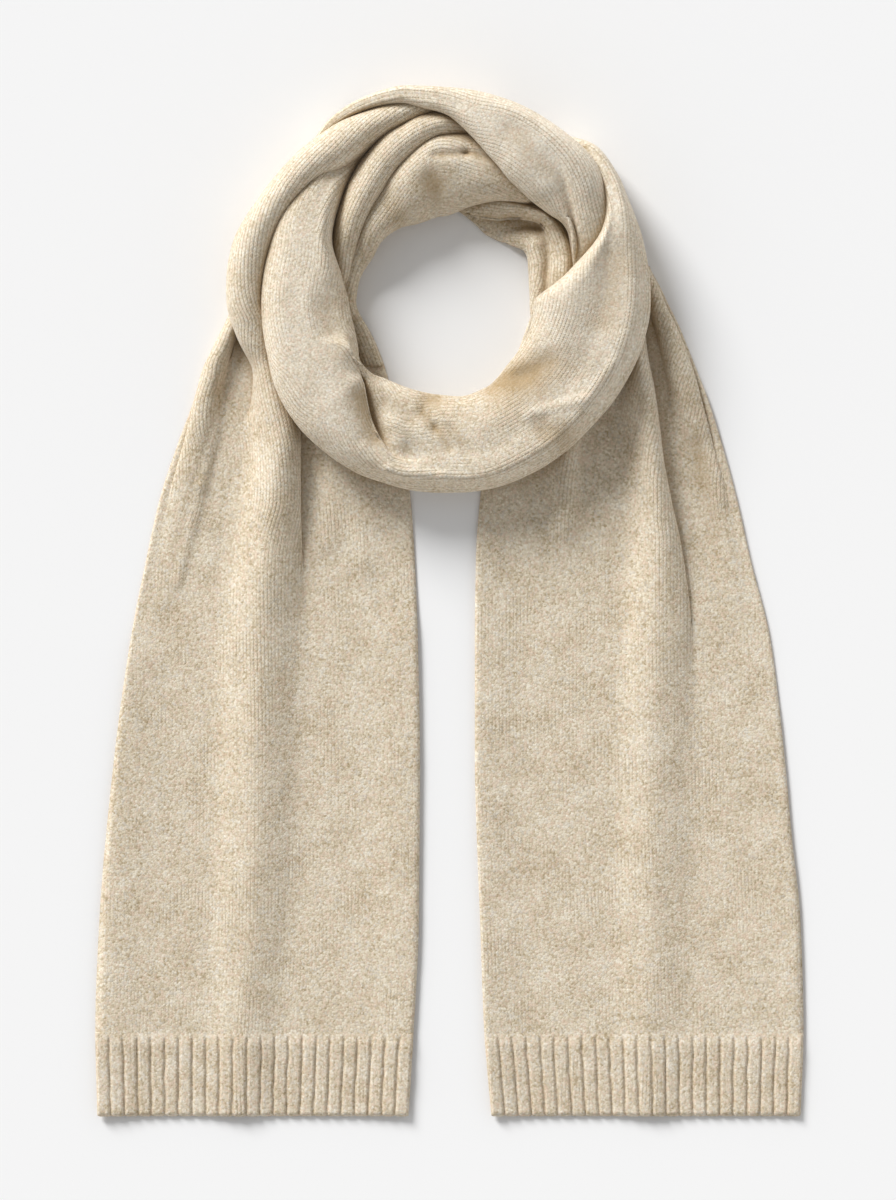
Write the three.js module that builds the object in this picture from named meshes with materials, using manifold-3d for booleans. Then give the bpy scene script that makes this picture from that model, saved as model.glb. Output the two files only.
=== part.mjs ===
// A knit wool scarf laid flat and wound once into a ring, its two ribbed ends lying side by side.
// Millimetres, +Z up. X runs across the two ends, +Y points from the hems to the top of the ring.
// The origin is under the middle of the scarf's box, on the surface that it lies on.
import * as THREE from "three";
import { mergeVertices } from "three/addons/utils/BufferGeometryUtils.js";
import Module from "manifold-3d";

// Driving dimensions
const RING = { x: -6.5, y: 287.5, meanRadius: 145 };
const WALL = 3; // thickness of the knitted cloth
const GAP = 0.3; // clearance between stretches that touch
const HEM = { top: -703, bottom: -783, ribs: 24, rise: 1.5, groove: 0.28, rows: 3 };
const RIB_HEIGHTS = [0, 0.85, 1, 0.85]; // across one rib, as shares of its rise
const SEAM = { left: 3, right: 20, roll: -58 }; // runs at which the ends and the left roll meet the ring
const TURN = { start: 3.6, roll: 272, fold: 268, neck: 338 }; // runs between which the rolls go round
// Folded edges that show along the side of a roll, between two shares of its height
const LAYER = { count: 2, depth: 1.6, low: 0.08, high: 0.55 };

// Colours of the melange yarn, and how the knit takes light
const YARN = { colour: 0xd0c3ac, roughness: 0.95, metalness: 0 };
const RIB_YARN = { colour: 0xc9bca4, roughness: 0.95, metalness: 0 };

// Edges of the two ends. run: mm along the scarf from the ring's side, negative down the end.
// outer, inner: distance of the cloth's two edges from the ring's centre line.
const LEFT_EDGES = [
  { run: -783, outer: 333, inner: 33 },
  { run: -700, outer: 335, inner: 28 },
  { run: -593, outer: 331, inner: 23 },
  { run: -439, outer: 317, inner: 22 },
  { run: -323, outer: 301, inner: 24 },
  { run: -246, outer: 286, inner: 27 },
  { run: -188, outer: 273, inner: 31 },
  { run: -130, outer: 254, inner: 40 },
  { run: -92, outer: 240, inner: 48 },
  { run: -63, outer: 232, inner: 55 },
  { run: -34, outer: 218, inner: 66 },
  { run: 3, outer: 202, inner: 84 },
];
const RIGHT_EDGES = [
  { run: -783, outer: 345, inner: 47 },
  { run: -700, outer: 348, inner: 40 },
  { run: -593, outer: 345, inner: 36 },
  { run: -516, outer: 337, inner: 33 },
  { run: -439, outer: 330, inner: 31 },
  { run: -323, outer: 316, inner: 31 },
  { run: -246, outer: 297, inner: 32 },
  { run: -188, outer: 284, inner: 36 },
  { run: -130, outer: 268, inner: 45 },
  { run: -92, outer: 256, inner: 56 },
  { run: -53, outer: 241, inner: 70 },
  { run: -14, outer: 225, inner: 84 },
  { run: 6, outer: 214, inner: 92 },
  { run: 24, outer: 203, inner: 98 },
];

// Folds of the ends, highest near the ring. crest: distance of the fold's top from the centre line.
// outer, inner: half widths on the two sides. rise: height. tuckOuter, tuckInner: 0 for a soft slope,
// 1 for a round edge that overhangs the cloth beside it.
const LEFT_RIDGE = [
  { run: -783, crest: 187, outer: 46, inner: 24, rise: 3, tuckOuter: 0, tuckInner: 0 },
  { run: -593, crest: 187, outer: 46, inner: 22, rise: 5, tuckOuter: 0, tuckInner: 0 },
  { run: -439, crest: 187, outer: 48, inner: 21, rise: 8, tuckOuter: 0, tuckInner: 0 },
  { run: -323, crest: 181, outer: 48, inner: 20, rise: 12, tuckOuter: 0, tuckInner: 0.15 },
  { run: -246, crest: 174, outer: 48, inner: 17, rise: 17, tuckOuter: 0, tuckInner: 0.6 },
  { run: -188, crest: 164, outer: 46, inner: 19, rise: 22, tuckOuter: 0, tuckInner: 0.8 },
  { run: -130, crest: 155, outer: 44, inner: 19, rise: 25, tuckOuter: 0.05, tuckInner: 0.8 },
  { run: -92, crest: 162, outer: 26, inner: 24, rise: 25, tuckOuter: 0.35, tuckInner: 0.7 },
  { run: -60, crest: 168, outer: 16, inner: 25, rise: 26, tuckOuter: 0.8, tuckInner: 0.7 },
  { run: -46, crest: 172, outer: 9, inner: 15, rise: 16, tuckOuter: 0.8, tuckInner: 0.7 },
  { run: 3, crest: 186, outer: 9, inner: 12, rise: 18, tuckOuter: 0.8, tuckInner: 0.7 },
];
const LEFT_ROLL = [
  { run: -60, crest: 168, outer: 16, inner: 25, rise: 26, tuckOuter: 0.8, tuckInner: 0.7 },
  { run: -34, crest: 180, outer: 16, inner: 24, rise: 32, tuckOuter: 1, tuckInner: 0.8 },
  { run: -15, crest: 186, outer: 17, inner: 22, rise: 37, tuckOuter: 1, tuckInner: 1 },
  { run: 0, crest: 189, outer: 17, inner: 18, rise: 40, tuckOuter: 1, tuckInner: 1 },
  { run: 38, crest: 191, outer: 17, inner: 19, rise: 45, tuckOuter: 1, tuckInner: 1 },
  { run: 76, crest: 187, outer: 15, inner: 15, rise: 48, tuckOuter: 1, tuckInner: 1 },
  { run: 114, crest: 184, outer: 16, inner: 16, rise: 49, tuckOuter: 1, tuckInner: 1 },
  { run: 139, crest: 181, outer: 18, inner: 20, rise: 49, tuckOuter: 1, tuckInner: 1 },
  { run: 152, crest: 181, outer: 18, inner: 19, rise: 48, tuckOuter: 1, tuckInner: 1 },
  { run: 171, crest: 183, outer: 15, inner: 15, rise: 45, tuckOuter: 1, tuckInner: 1 },
  { run: 190, crest: 186, outer: 13, inner: 12, rise: 42, tuckOuter: 1, tuckInner: 1 },
  { run: 228, crest: 192, outer: 11, inner: 11, rise: 35, tuckOuter: 1, tuckInner: 1 },
  { run: 272, crest: 193, outer: 11, inner: 10, rise: 28, tuckOuter: 1, tuckInner: 1 },
];
const RIGHT_RIDGE = [
  { run: -783, crest: 204, outer: 24, inner: 46, rise: 3, tuckOuter: 0, tuckInner: 0 },
  { run: -593, crest: 206, outer: 22, inner: 46, rise: 5, tuckOuter: 0, tuckInner: 0 },
  { run: -439, crest: 211, outer: 20, inner: 46, rise: 8, tuckOuter: 0, tuckInner: 0 },
  { run: -323, crest: 213, outer: 17, inner: 46, rise: 12, tuckOuter: 0.2, tuckInner: 0 },
  { run: -246, crest: 209, outer: 12, inner: 44, rise: 17, tuckOuter: 0.7, tuckInner: 0 },
  { run: -188, crest: 205, outer: 10, inner: 40, rise: 21, tuckOuter: 0.8, tuckInner: 0 },
  { run: -130, crest: 200, outer: 10, inner: 34, rise: 23, tuckOuter: 0.8, tuckInner: 0 },
  { run: -92, crest: 195, outer: 10, inner: 28, rise: 23, tuckOuter: 0.8, tuckInner: 0.1 },
  { run: -53, crest: 188, outer: 10, inner: 24, rise: 21, tuckOuter: 0.8, tuckInner: 0.2 },
  { run: 10, crest: 178, outer: 14, inner: 22, rise: 17, tuckOuter: 0.8, tuckInner: 0.4 },
];
// The outer flap of each end, rounded where it comes out from under the ring
const LEFT_FLAP = [
  { run: -323, crest: 268, outer: 24, inner: 30, rise: 0, tuckOuter: 0, tuckInner: 0 },
  { run: -188, crest: 248, outer: 20, inner: 28, rise: 5, tuckOuter: 0.5, tuckInner: 0 },
  { run: -130, crest: 234, outer: 16, inner: 24, rise: 10, tuckOuter: 0.8, tuckInner: 0 },
  { run: -63, crest: 219, outer: 11, inner: 12, rise: 14, tuckOuter: 0.9, tuckInner: 0.2 },
  { run: -34, crest: 208, outer: 9, inner: 9, rise: 15, tuckOuter: 0.9, tuckInner: 0.4 },
  { run: 3, crest: 192, outer: 7, inner: 8, rise: 13, tuckOuter: 0.9, tuckInner: 0.4 },
];
const RIGHT_FLAP = [
  { run: -323, crest: 280, outer: 24, inner: 30, rise: 0, tuckOuter: 0, tuckInner: 0 },
  { run: -188, crest: 258, outer: 20, inner: 26, rise: 5, tuckOuter: 0.5, tuckInner: 0 },
  { run: -130, crest: 243, outer: 18, inner: 22, rise: 9, tuckOuter: 0.8, tuckInner: 0 },
  { run: -53, crest: 224, outer: 14, inner: 14, rise: 14, tuckOuter: 0.9, tuckInner: 0.2 },
  { run: 6, crest: 203, outer: 8, inner: 8, rise: 14, tuckOuter: 0.9, tuckInner: 0.4 },
  { run: 24, crest: 194, outer: 7, inner: 7, rise: 12, tuckOuter: 0.9, tuckInner: 0.4 },
];
// A low wave in the inner part of each end
const LEFT_WAVE = [
  { run: -246, crest: 92, outer: 26, inner: 26, rise: 0, tuckOuter: 0, tuckInner: 0 },
  { run: -130, crest: 92, outer: 24, inner: 24, rise: 5, tuckOuter: 0, tuckInner: 0 },
  { run: -4, crest: 110, outer: 18, inner: 16, rise: 9, tuckOuter: 0, tuckInner: 0 },
];
const RIGHT_WAVE = [
  { run: -246, crest: 118, outer: 26, inner: 26, rise: 0, tuckOuter: 0, tuckInner: 0 },
  { run: -150, crest: 120, outer: 18, inner: 20, rise: 8, tuckOuter: 0, tuckInner: 0 },
  { run: 10, crest: 126, outer: 16, inner: 18, rise: 10, tuckOuter: 0, tuckInner: 0 },
];

// The fold that lies inside the left roll, and the band round the back of the neck opening
const LEFT_FOLD = [
  { run: 3.6, crest: 104, outer: 10, inner: 9, rise: 14, tuckOuter: 1, tuckInner: 1 },
  { run: 38, crest: 103, outer: 10, inner: 10, rise: 20, tuckOuter: 1, tuckInner: 1 },
  { run: 76, crest: 109, outer: 22, inner: 11, rise: 30, tuckOuter: 0.8, tuckInner: 1 },
  { run: 104, crest: 118, outer: 26, inner: 14, rise: 38, tuckOuter: 0.7, tuckInner: 1 },
  { run: 139, crest: 131, outer: 27, inner: 16, rise: 43, tuckOuter: 0.8, tuckInner: 1 },
  { run: 159, crest: 141, outer: 24, inner: 18, rise: 43, tuckOuter: 0.9, tuckInner: 1 },
  { run: 180, crest: 152, outer: 20, inner: 18, rise: 42, tuckOuter: 1, tuckInner: 1 },
  { run: 195, crest: 160, outer: 16, inner: 18, rise: 40, tuckOuter: 1, tuckInner: 1 },
  { run: 210, crest: 166, outer: 14, inner: 15, rise: 37, tuckOuter: 1, tuckInner: 1 },
  { run: 230, crest: 171, outer: 11, inner: 11, rise: 34, tuckOuter: 1, tuckInner: 1 },
  { run: 268, crest: 174, outer: 9, inner: 12, rise: 30, tuckOuter: 1, tuckInner: 1 },
];
const NECK_BAND = [
  { run: 3.6, crest: 94, outer: 8, inner: 9, rise: 14, tuckOuter: 1, tuckInner: 1 },
  { run: 38, crest: 92, outer: 10, inner: 7, rise: 16, tuckOuter: 1, tuckInner: 1 },
  { run: 76, crest: 92, outer: 12, inner: 10, rise: 22, tuckOuter: 1, tuckInner: 1 },
  { run: 114, crest: 98, outer: 15, inner: 13, rise: 31, tuckOuter: 1, tuckInner: 1 },
  { run: 152, crest: 106, outer: 22, inner: 22, rise: 36, tuckOuter: 1, tuckInner: 0.9 },
  { run: 190, crest: 124, outer: 23, inner: 49, rise: 40, tuckOuter: 1, tuckInner: 0.6 },
  { run: 228, crest: 141, outer: 24, inner: 66, rise: 42, tuckOuter: 1, tuckInner: 0.5 },
  { run: 266, crest: 137, outer: 29, inner: 43, rise: 39, tuckOuter: 1, tuckInner: 0.7 },
  { run: 304, crest: 138, outer: 24, inner: 22, rise: 34, tuckOuter: 1, tuckInner: 1 },
  { run: 338, crest: 141, outer: 18, inner: 16, rise: 26, tuckOuter: 1, tuckInner: 1 },
];

// Stretches that lie on others, as sections across the ring. at: degrees round the ring from +X.
// outer, inner: radii. under, top: heights. valley: radius of the crease in the top face.
// depth: how far it sinks. lap: how far the fold outside it overhangs it. lip: rise again inside it.
const FRONT_LOOP = [
  { at: 56, outer: 201, inner: 182, under: 2, top: 26, valley: 192, depth: 0, lap: 0, lip: 0 },
  { at: 45, outer: 212, inner: 194, under: 3, top: 42, valley: 203, depth: 0, lap: 0, lip: 0 },
  { at: 36, outer: 209, inner: 186, under: 5, top: 51, valley: 198, depth: 0, lap: 0, lip: 0 },
  { at: 30, outer: 205, inner: 177, under: 8, top: 56, valley: 191, depth: 0, lap: 0, lip: 0 },
  { at: 24, outer: 203, inner: 163, under: 13, top: 60, valley: 180, depth: 0, lap: 0, lip: 0 },
  { at: 15, outer: 201, inner: 127, under: 18, top: 62, valley: 166, depth: 0, lap: 0, lip: 0 },
  { at: 0, outer: 200, inner: 87, under: 21, top: 62, valley: 156, depth: 0, lap: 0, lip: 0 },
  { at: -15, outer: 195, inner: 87, under: 18, top: 60, valley: 152, depth: 1, lap: 0, lip: 0 },
  { at: -28, outer: 190, inner: 86, under: 15, top: 58, valley: 136, depth: 3, lap: 0, lip: 2 },
  { at: -42, outer: 186, inner: 86, under: 12, top: 56, valley: 120, depth: 3.5, lap: 0, lip: 3 },
  { at: -52, outer: 185, inner: 88, under: 10, top: 53, valley: 118, depth: 2.5, lap: 0, lip: 2 },
  { at: -62, outer: 185, inner: 91, under: 7, top: 50, valley: 122, depth: 2, lap: 0, lip: 1 },
  { at: -75, outer: 184, inner: 91, under: 6, top: 48, valley: 138, depth: 1, lap: 0, lip: 0 },
  { at: -90, outer: 182, inner: 88, under: 6, top: 46, valley: 145, depth: 1, lap: 0, lip: 0 },
  { at: -105, outer: 182, inner: 87, under: 6, top: 49, valley: 156, depth: 6, lap: 2, lip: 2 },
  { at: -118, outer: 183, inner: 88, under: 9, top: 54, valley: 140, depth: 15, lap: 6, lip: 6 },
  { at: -128, outer: 183, inner: 91, under: 12, top: 57, valley: 122, depth: 19, lap: 7, lip: 6 },
  { at: -136, outer: 183, inner: 96, under: 14, top: 59, valley: 109, depth: 20, lap: 4, lip: 3 },
  { at: -144, outer: 182, inner: 97, under: 15, top: 60, valley: 104, depth: 12, lap: 0, lip: 0 },
  { at: -154, outer: 180, inner: 91, under: 16, top: 60, valley: 106, depth: 2, lap: 0, lip: 0 },
  { at: -165, outer: 176, inner: 88, under: 16, top: 59, valley: 112, depth: 0, lap: 0, lip: 0 },
  { at: -180, outer: 175, inner: 90, under: 15, top: 57, valley: 118, depth: 0, lap: 0, lip: 0 },
  { at: -195, outer: 176, inner: 100, under: 16, top: 54, valley: 126, depth: 0, lap: 0, lip: 0 },
  { at: -210, outer: 180, inner: 123, under: 18, top: 48, valley: 144, depth: 0, lap: 0, lip: 0 },
  { at: -225, outer: 178, inner: 140, under: 8, top: 38, valley: 158, depth: 0, lap: 0, lip: 0 },
  { at: -240, outer: 175, inner: 156, under: 3, top: 28, valley: 167, depth: 0, lap: 0, lip: 0 },
  { at: -250, outer: 176, inner: 164, under: 2, top: 22, valley: 170, depth: 0, lap: 0, lip: 0 },
];
const WRAP_OVER = [
  { at: 121, outer: 209, inner: 198, under: 4, top: 26, valley: 204, depth: 0, lap: 0, lip: 0 },
  { at: 112, outer: 212, inner: 199, under: 18, top: 44, valley: 206, depth: 0, lap: 0, lip: 0 },
  { at: 102, outer: 212, inner: 196, under: 32, top: 55, valley: 204, depth: 0, lap: 0, lip: 0 },
  { at: 96, outer: 209, inner: 188, under: 35, top: 60, valley: 199, depth: 0, lap: 0, lip: 0 },
  { at: 89, outer: 206, inner: 180, under: 38, top: 63, valley: 193, depth: 0, lap: 0, lip: 0 },
  { at: 80, outer: 205, inner: 160, under: 37, top: 67, valley: 182, depth: 0, lap: 0, lip: 0 },
  { at: 70, outer: 204, inner: 143, under: 34, top: 69, valley: 185, depth: 0, lap: 0, lip: 0 },
  { at: 60, outer: 202, inner: 132, under: 30, top: 70, valley: 181, depth: 1, lap: 0, lip: 0 },
  { at: 49, outer: 201, inner: 129, under: 26, top: 68, valley: 172, depth: 6, lap: 0, lip: 1 },
  { at: 41, outer: 199, inner: 132, under: 20, top: 65, valley: 161, depth: 12, lap: 2, lip: 3 },
  { at: 32, outer: 190, inner: 138, under: 13, top: 58, valley: 150, depth: 13, lap: 2, lip: 5 },
  { at: 24, outer: 186, inner: 134, under: 8, top: 49, valley: 143, depth: 12, lap: 1, lip: 4 },
  { at: 17, outer: 182, inner: 127, under: 4, top: 36, valley: 137, depth: 5, lap: 0, lip: 0 },
  { at: 4, outer: 178, inner: 124, under: 2, top: 24, valley: 150, depth: 0, lap: 0, lip: 0 },
];
const NECK_UNDER = [
  { at: 82, outer: 110, inner: 92, under: 0, top: 6, valley: 101, depth: 0, lap: 0, lip: 0 },
  { at: 70, outer: 118, inner: 84, under: 0, top: 11, valley: 92, depth: 4, lap: 2, lip: 0 },
  { at: 58, outer: 124, inner: 79, under: 0, top: 17, valley: 99, depth: 14, lap: 5, lip: 0 },
  { at: 49, outer: 130, inner: 81, under: 0, top: 21, valley: 112, depth: 18, lap: 6, lip: 1 },
  { at: 40, outer: 137, inner: 87, under: 0, top: 25, valley: 124, depth: 18, lap: 5, lip: 6 },
  { at: 32, outer: 142, inner: 93, under: 0, top: 26, valley: 120, depth: 12, lap: 3, lip: 6 },
  { at: 22, outer: 140, inner: 88, under: 0, top: 28, valley: 113, depth: 13, lap: 4, lip: 5 },
  { at: 12, outer: 134, inner: 84, under: 0, top: 28, valley: 106, depth: 12, lap: 3, lip: 4 },
  { at: 0, outer: 128, inner: 83, under: 0, top: 22, valley: 104, depth: 5, lap: 0, lip: 1 },
  { at: -15, outer: 122, inner: 88, under: 0, top: 14, valley: 104, depth: 0, lap: 0, lip: 0 },
];

const TAIL_STATIONS = 22;
const RING_STEP = 6; // degrees between the sections of a stretch round the ring
const SLIVER = 0.04; // features thinner than this are dropped from the solids
const MERGE = 0.001; // corners closer than this are one corner
const CORNER = 1.5; // extra clearance, because a corner moved out leaves less beside it
const FOOT_STEP = 0.6; // least distance between the feet of neighbouring folds

// Side of a roll from its foot to its crest, as shares of its half width and rise
const SOFT_SIDE = [[1, 0], [0.68, 0.14], [0.34, 0.66]];
const ROUND_SIDE = [[0.45, 0], [1, 0.36], [0.72, 0.86]];

// Outline of a stretch that lies on others, as shares of its width, height, crown and crease.
// brow: the rounding beside a crease, at most browWidth wide.
const OUTLINE = {
  foot: 0.2,
  side: 0.42,
  shoulderIn: 0.09,
  shoulderDown: 0.2,
  crown: 0.42,
  browWidth: 8,
  brow: 0.3,
  browDown: 0.12,
  browNear: 0.25,
  half: 0.5,
  lipIn: 0.08,
  lipDown: 0.2,
};

// Value of a column between the rows of a table, on a smooth line that doesn't overshoot
function valueAt(rows, key, column, at) {
  const forward = rows[rows.length - 1][key] > rows[0][key] ? 1 : -1;
  const x = rows.map((row) => row[key] * forward);
  const y = rows.map((row) => row[column]);
  const target = THREE.MathUtils.clamp(at * forward, x[0], x[x.length - 1]);
  let i = 0;
  while (i < x.length - 2 && target > x[i + 1]) i += 1;
  const slope = (k) => (y[k + 1] - y[k]) / (x[k + 1] - x[k]);
  const tangent = (k) => {
    if (k === 0) return slope(0);
    if (k === x.length - 1) return slope(k - 1);
    const before = slope(k - 1);
    const after = slope(k);
    return before * after <= 0 ? 0 : (2 * before * after) / (before + after);
  };
  const span = x[i + 1] - x[i];
  const t = (target - x[i]) / span;
  const t2 = t * t;
  const t3 = t2 * t;
  return (
    (2 * t3 - 3 * t2 + 1) * y[i] +
    (t3 - 2 * t2 + t) * span * tangent(i) +
    (3 * t2 - 2 * t3) * y[i + 1] +
    (t3 - t2) * span * tangent(i + 1)
  );
}

function rowAt(rows, key, at) {
  const columns = Object.keys(rows[0]).filter((column) => column !== key);
  return Object.fromEntries(columns.map((column) => [column, valueAt(rows, key, column, at)]));
}

// Points of a roll's outline from its outer foot over the crest to its inner foot, in
// [distance, height]. A soft slope and a round, overhanging edge are mixed by the tucks.
function rollPoints(roll, base) {
  const side = (half, tuck, sign) =>
    SOFT_SIDE.map(([reach, height], k) => [
      roll.crest + sign * half * THREE.MathUtils.lerp(reach, ROUND_SIDE[k][0], tuck),
      base + roll.rise * THREE.MathUtils.lerp(height, ROUND_SIDE[k][1], tuck),
    ]);
  return [
    ...side(roll.outer, roll.tuckOuter, 1),
    [roll.crest, base + roll.rise],
    ...side(roll.inner, roll.tuckInner, -1).reverse(),
  ];
}

// A smooth line through points, sampled evenly between each two of them
function smoothLine(points, perSpan) {
  const curve = new THREE.CatmullRomCurve3(
    points.map(([u, z]) => new THREE.Vector3(u, z, 0)),
    false,
    "centripetal",
  );
  const spans = points.length - 1;
  return Array.from({ length: spans * perSpan + 1 }, (_, k) => {
    const p = curve.getPoint(k / (spans * perSpan));
    return [p.x, p.y];
  });
}

// Place on the scarf: distance from the centre line and height, at a run from the ring's side.
// side is -1 for the left end and 1 for the right one.
function placeAtRun(side, run, u, z) {
  if (run <= 0) return new THREE.Vector3(RING.x + side * u, RING.y + run, z);
  const turn = run / RING.meanRadius;
  return new THREE.Vector3(RING.x + side * u * Math.cos(turn), RING.y + u * Math.sin(turn), z);
}

function placeAtAngle(degrees, u, z) {
  const turn = THREE.MathUtils.degToRad(degrees);
  return new THREE.Vector3(RING.x + u * Math.cos(turn), RING.y + u * Math.sin(turn), z);
}

// Moves each point of a flat line sideways by a distance, to its left as it is walked
function offsetLine(line, distance) {
  return line.map(([u, z], k) => {
    const before = line[Math.max(k - 1, 0)];
    const after = line[Math.min(k + 1, line.length - 1)];
    const du = after[0] - before[0];
    const dz = after[1] - before[1];
    const length = Math.hypot(du, dz) || 1;
    return [u - (dz / length) * distance, z + (du / length) * distance];
  });
}

function geometryOf(positions, triangles) {
  const geometry = new THREE.BufferGeometry();
  const values = positions.flatMap((p) => p.toArray());
  geometry.setAttribute("position", new THREE.Float32BufferAttribute(values, 3));
  geometry.setIndex(triangles.flat());
  return geometry;
}

// A closed wall between two grids of points of the same size, one over the other
function wallGeometry(upper, lower) {
  const rows = upper.length;
  const columns = upper[0].length;
  const positions = [...upper.flat(), ...lower.flat()];
  const at = (layer, i, j) => layer * rows * columns + i * columns + j;
  const triangles = [];
  const quad = (a, b, c, d) => triangles.push([a, b, c], [a, c, d]);
  for (let i = 0; i < rows - 1; i += 1)
    for (let j = 0; j < columns - 1; j += 1) {
      quad(at(0, i, j), at(0, i + 1, j), at(0, i + 1, j + 1), at(0, i, j + 1));
      quad(at(1, i, j), at(1, i, j + 1), at(1, i + 1, j + 1), at(1, i + 1, j));
    }
  for (let i = 0; i < rows - 1; i += 1) {
    quad(at(0, i, 0), at(1, i, 0), at(1, i + 1, 0), at(0, i + 1, 0));
    quad(at(0, i, columns - 1), at(0, i + 1, columns - 1), at(1, i + 1, columns - 1), at(1, i, columns - 1));
  }
  for (let j = 0; j < columns - 1; j += 1) {
    quad(at(0, 0, j), at(0, 0, j + 1), at(1, 0, j + 1), at(1, 0, j));
    quad(at(0, rows - 1, j), at(1, rows - 1, j), at(1, rows - 1, j + 1), at(0, rows - 1, j + 1));
  }
  return geometryOf(positions, triangles);
}

// A closed solid through rings of points, with a flat end on the first and the last
function loftGeometry(rings) {
  const count = rings[0].length;
  const positions = rings.flat();
  const triangles = [];
  rings.slice(1).forEach((_, i) => {
    for (let j = 0; j < count; j += 1) {
      const next = (j + 1) % count;
      const [a, b] = [i * count + j, i * count + next];
      triangles.push([a, b, b + count], [a, b + count, a + count]);
    }
  });
  const cap = (ring, start, flip) => {
    const centre = ring.reduce((sum, p) => sum.add(p), new THREE.Vector3()).divideScalar(count);
    const c = positions.push(centre) - 1;
    for (let j = 0; j < count; j += 1) {
      const [a, b] = [start + j, start + ((j + 1) % count)];
      triangles.push(flip ? [c, a, b] : [c, b, a]);
    }
  };
  cap(rings[0], 0, false);
  cap(rings[rings.length - 1], (rings.length - 1) * count, true);
  return geometryOf(positions, triangles);
}

// Middle line of an end's section at a run, from the outer edge to the inner one
function endSection(end, run, perSpan) {
  const edges = rowAt(end.edges, "run", run);
  const flap = rowAt(end.flap, "run", run);
  const ridge = rowAt(end.ridge, "run", run);
  const wave = rowAt(end.wave, "run", run);
  const base = WALL / 2;
  const points = [
    [edges.outer, base],
    ...rollPoints(flap, base),
    ...rollPoints(ridge, base),
    ...rollPoints(wave, base),
    [edges.inner, base],
  ];
  // Feet of neighbouring folds never pass each other
  const feet = [0, 1, 7, 8, 14, 15, 21, 22];
  feet.slice(1).forEach((k, n) => {
    if (n % 2 === 0) points[k][0] = Math.min(points[k][0], points[feet[n]][0] - FOOT_STEP);
  });
  return smoothLine(points, perSpan);
}

// The wall of an end between two runs, with its upper and lower grids kept at or above the surface
function endWall(end, from, to, stations) {
  const upper = [];
  const lower = [];
  for (let i = 0; i <= stations; i += 1) {
    const run = THREE.MathUtils.lerp(from, to, i / stations);
    const line = endSection(end, run, 1);
    const place = (points) => points.map(([u, z]) => placeAtRun(end.side, run, u, Math.max(z, 0)));
    upper.push(place(offsetLine(line, -WALL / 2)));
    lower.push(place(offsetLine(line, WALL / 2)));
  }
  return end.side > 0 ? wallGeometry(upper, lower) : wallGeometry(upper.reverse(), lower.reverse());
}

// A ribbed hem: the end's cloth carried on, with ribs raised in its upper face
function hemWall(end) {
  const upper = [];
  const lower = [];
  const perRib = [0, HEM.groove, 0.5, 1 - HEM.groove];
  for (let i = 0; i <= HEM.rows; i += 1) {
    const run = THREE.MathUtils.lerp(HEM.bottom, HEM.top - GAP, i / HEM.rows);
    const line = endSection(end, run, 6);
    const across = (share) => {
      const target = THREE.MathUtils.lerp(line[0][0], line[line.length - 1][0], share);
      const k = Math.max(1, line.findIndex(([u]) => u <= target));
      const [a, b] = [line[k - 1], line[k]];
      const t = (target - a[0]) / (b[0] - a[0] || 1);
      return [target, Math.max(THREE.MathUtils.lerp(a[1], b[1], t) - WALL / 2, 0)];
    };
    const top = [];
    const bottom = [];
    for (let rib = 0; rib < HEM.ribs; rib += 1)
      perRib.forEach((share, k) => {
        const [u, z] = across((rib + share) / HEM.ribs);
        top.push(placeAtRun(end.side, run, u, z + WALL - HEM.rise / 2 + HEM.rise * RIB_HEIGHTS[k]));
        bottom.push(placeAtRun(end.side, run, u, z));
      });
    const [u, z] = across(1);
    top.push(placeAtRun(end.side, run, u, z + WALL - HEM.rise / 2));
    bottom.push(placeAtRun(end.side, run, u, z));
    upper.push(top);
    lower.push(bottom);
  }
  return end.side > 0 ? wallGeometry(upper, lower) : wallGeometry(upper.reverse(), lower.reverse());
}

// Outline of a roll that rests on the surface, with shallow steps where its folded layers end
function rollOutline(roll) {
  const line = smoothLine(rollPoints(roll, WALL / 2), 3);
  const layered = line.map(([u, z], k) => {
    const low = z < roll.rise * LAYER.high && z > roll.rise * LAYER.low;
    const groove = low ? Math.sin((z / roll.rise) * Math.PI * 2 * LAYER.count) ** 2 : 0;
    const side = k < line.length / 2 ? -1 : 1;
    return [u + side * groove * LAYER.depth, z];
  });
  const outward = offsetLine(layered, -WALL / 2);
  outward[0][1] = 0;
  outward[outward.length - 1][1] = 0;
  return outward.map(([u, z]) => [u, Math.max(z, 0)]);
}

function rollSolid(side, rows, from, to) {
  const stepRun = THREE.MathUtils.degToRad(RING_STEP) * RING.meanRadius;
  const steps = Math.round((to - from) / stepRun);
  const rings = Array.from({ length: steps + 1 }, (_, i) => {
    const run = THREE.MathUtils.lerp(from, to, i / steps);
    const roll = rowAt(rows, "run", run);
    return rollOutline(roll).map(([u, z]) => placeAtRun(side, run, u, z));
  });
  return loftGeometry(side < 0 ? rings : rings.reverse());
}

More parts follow.
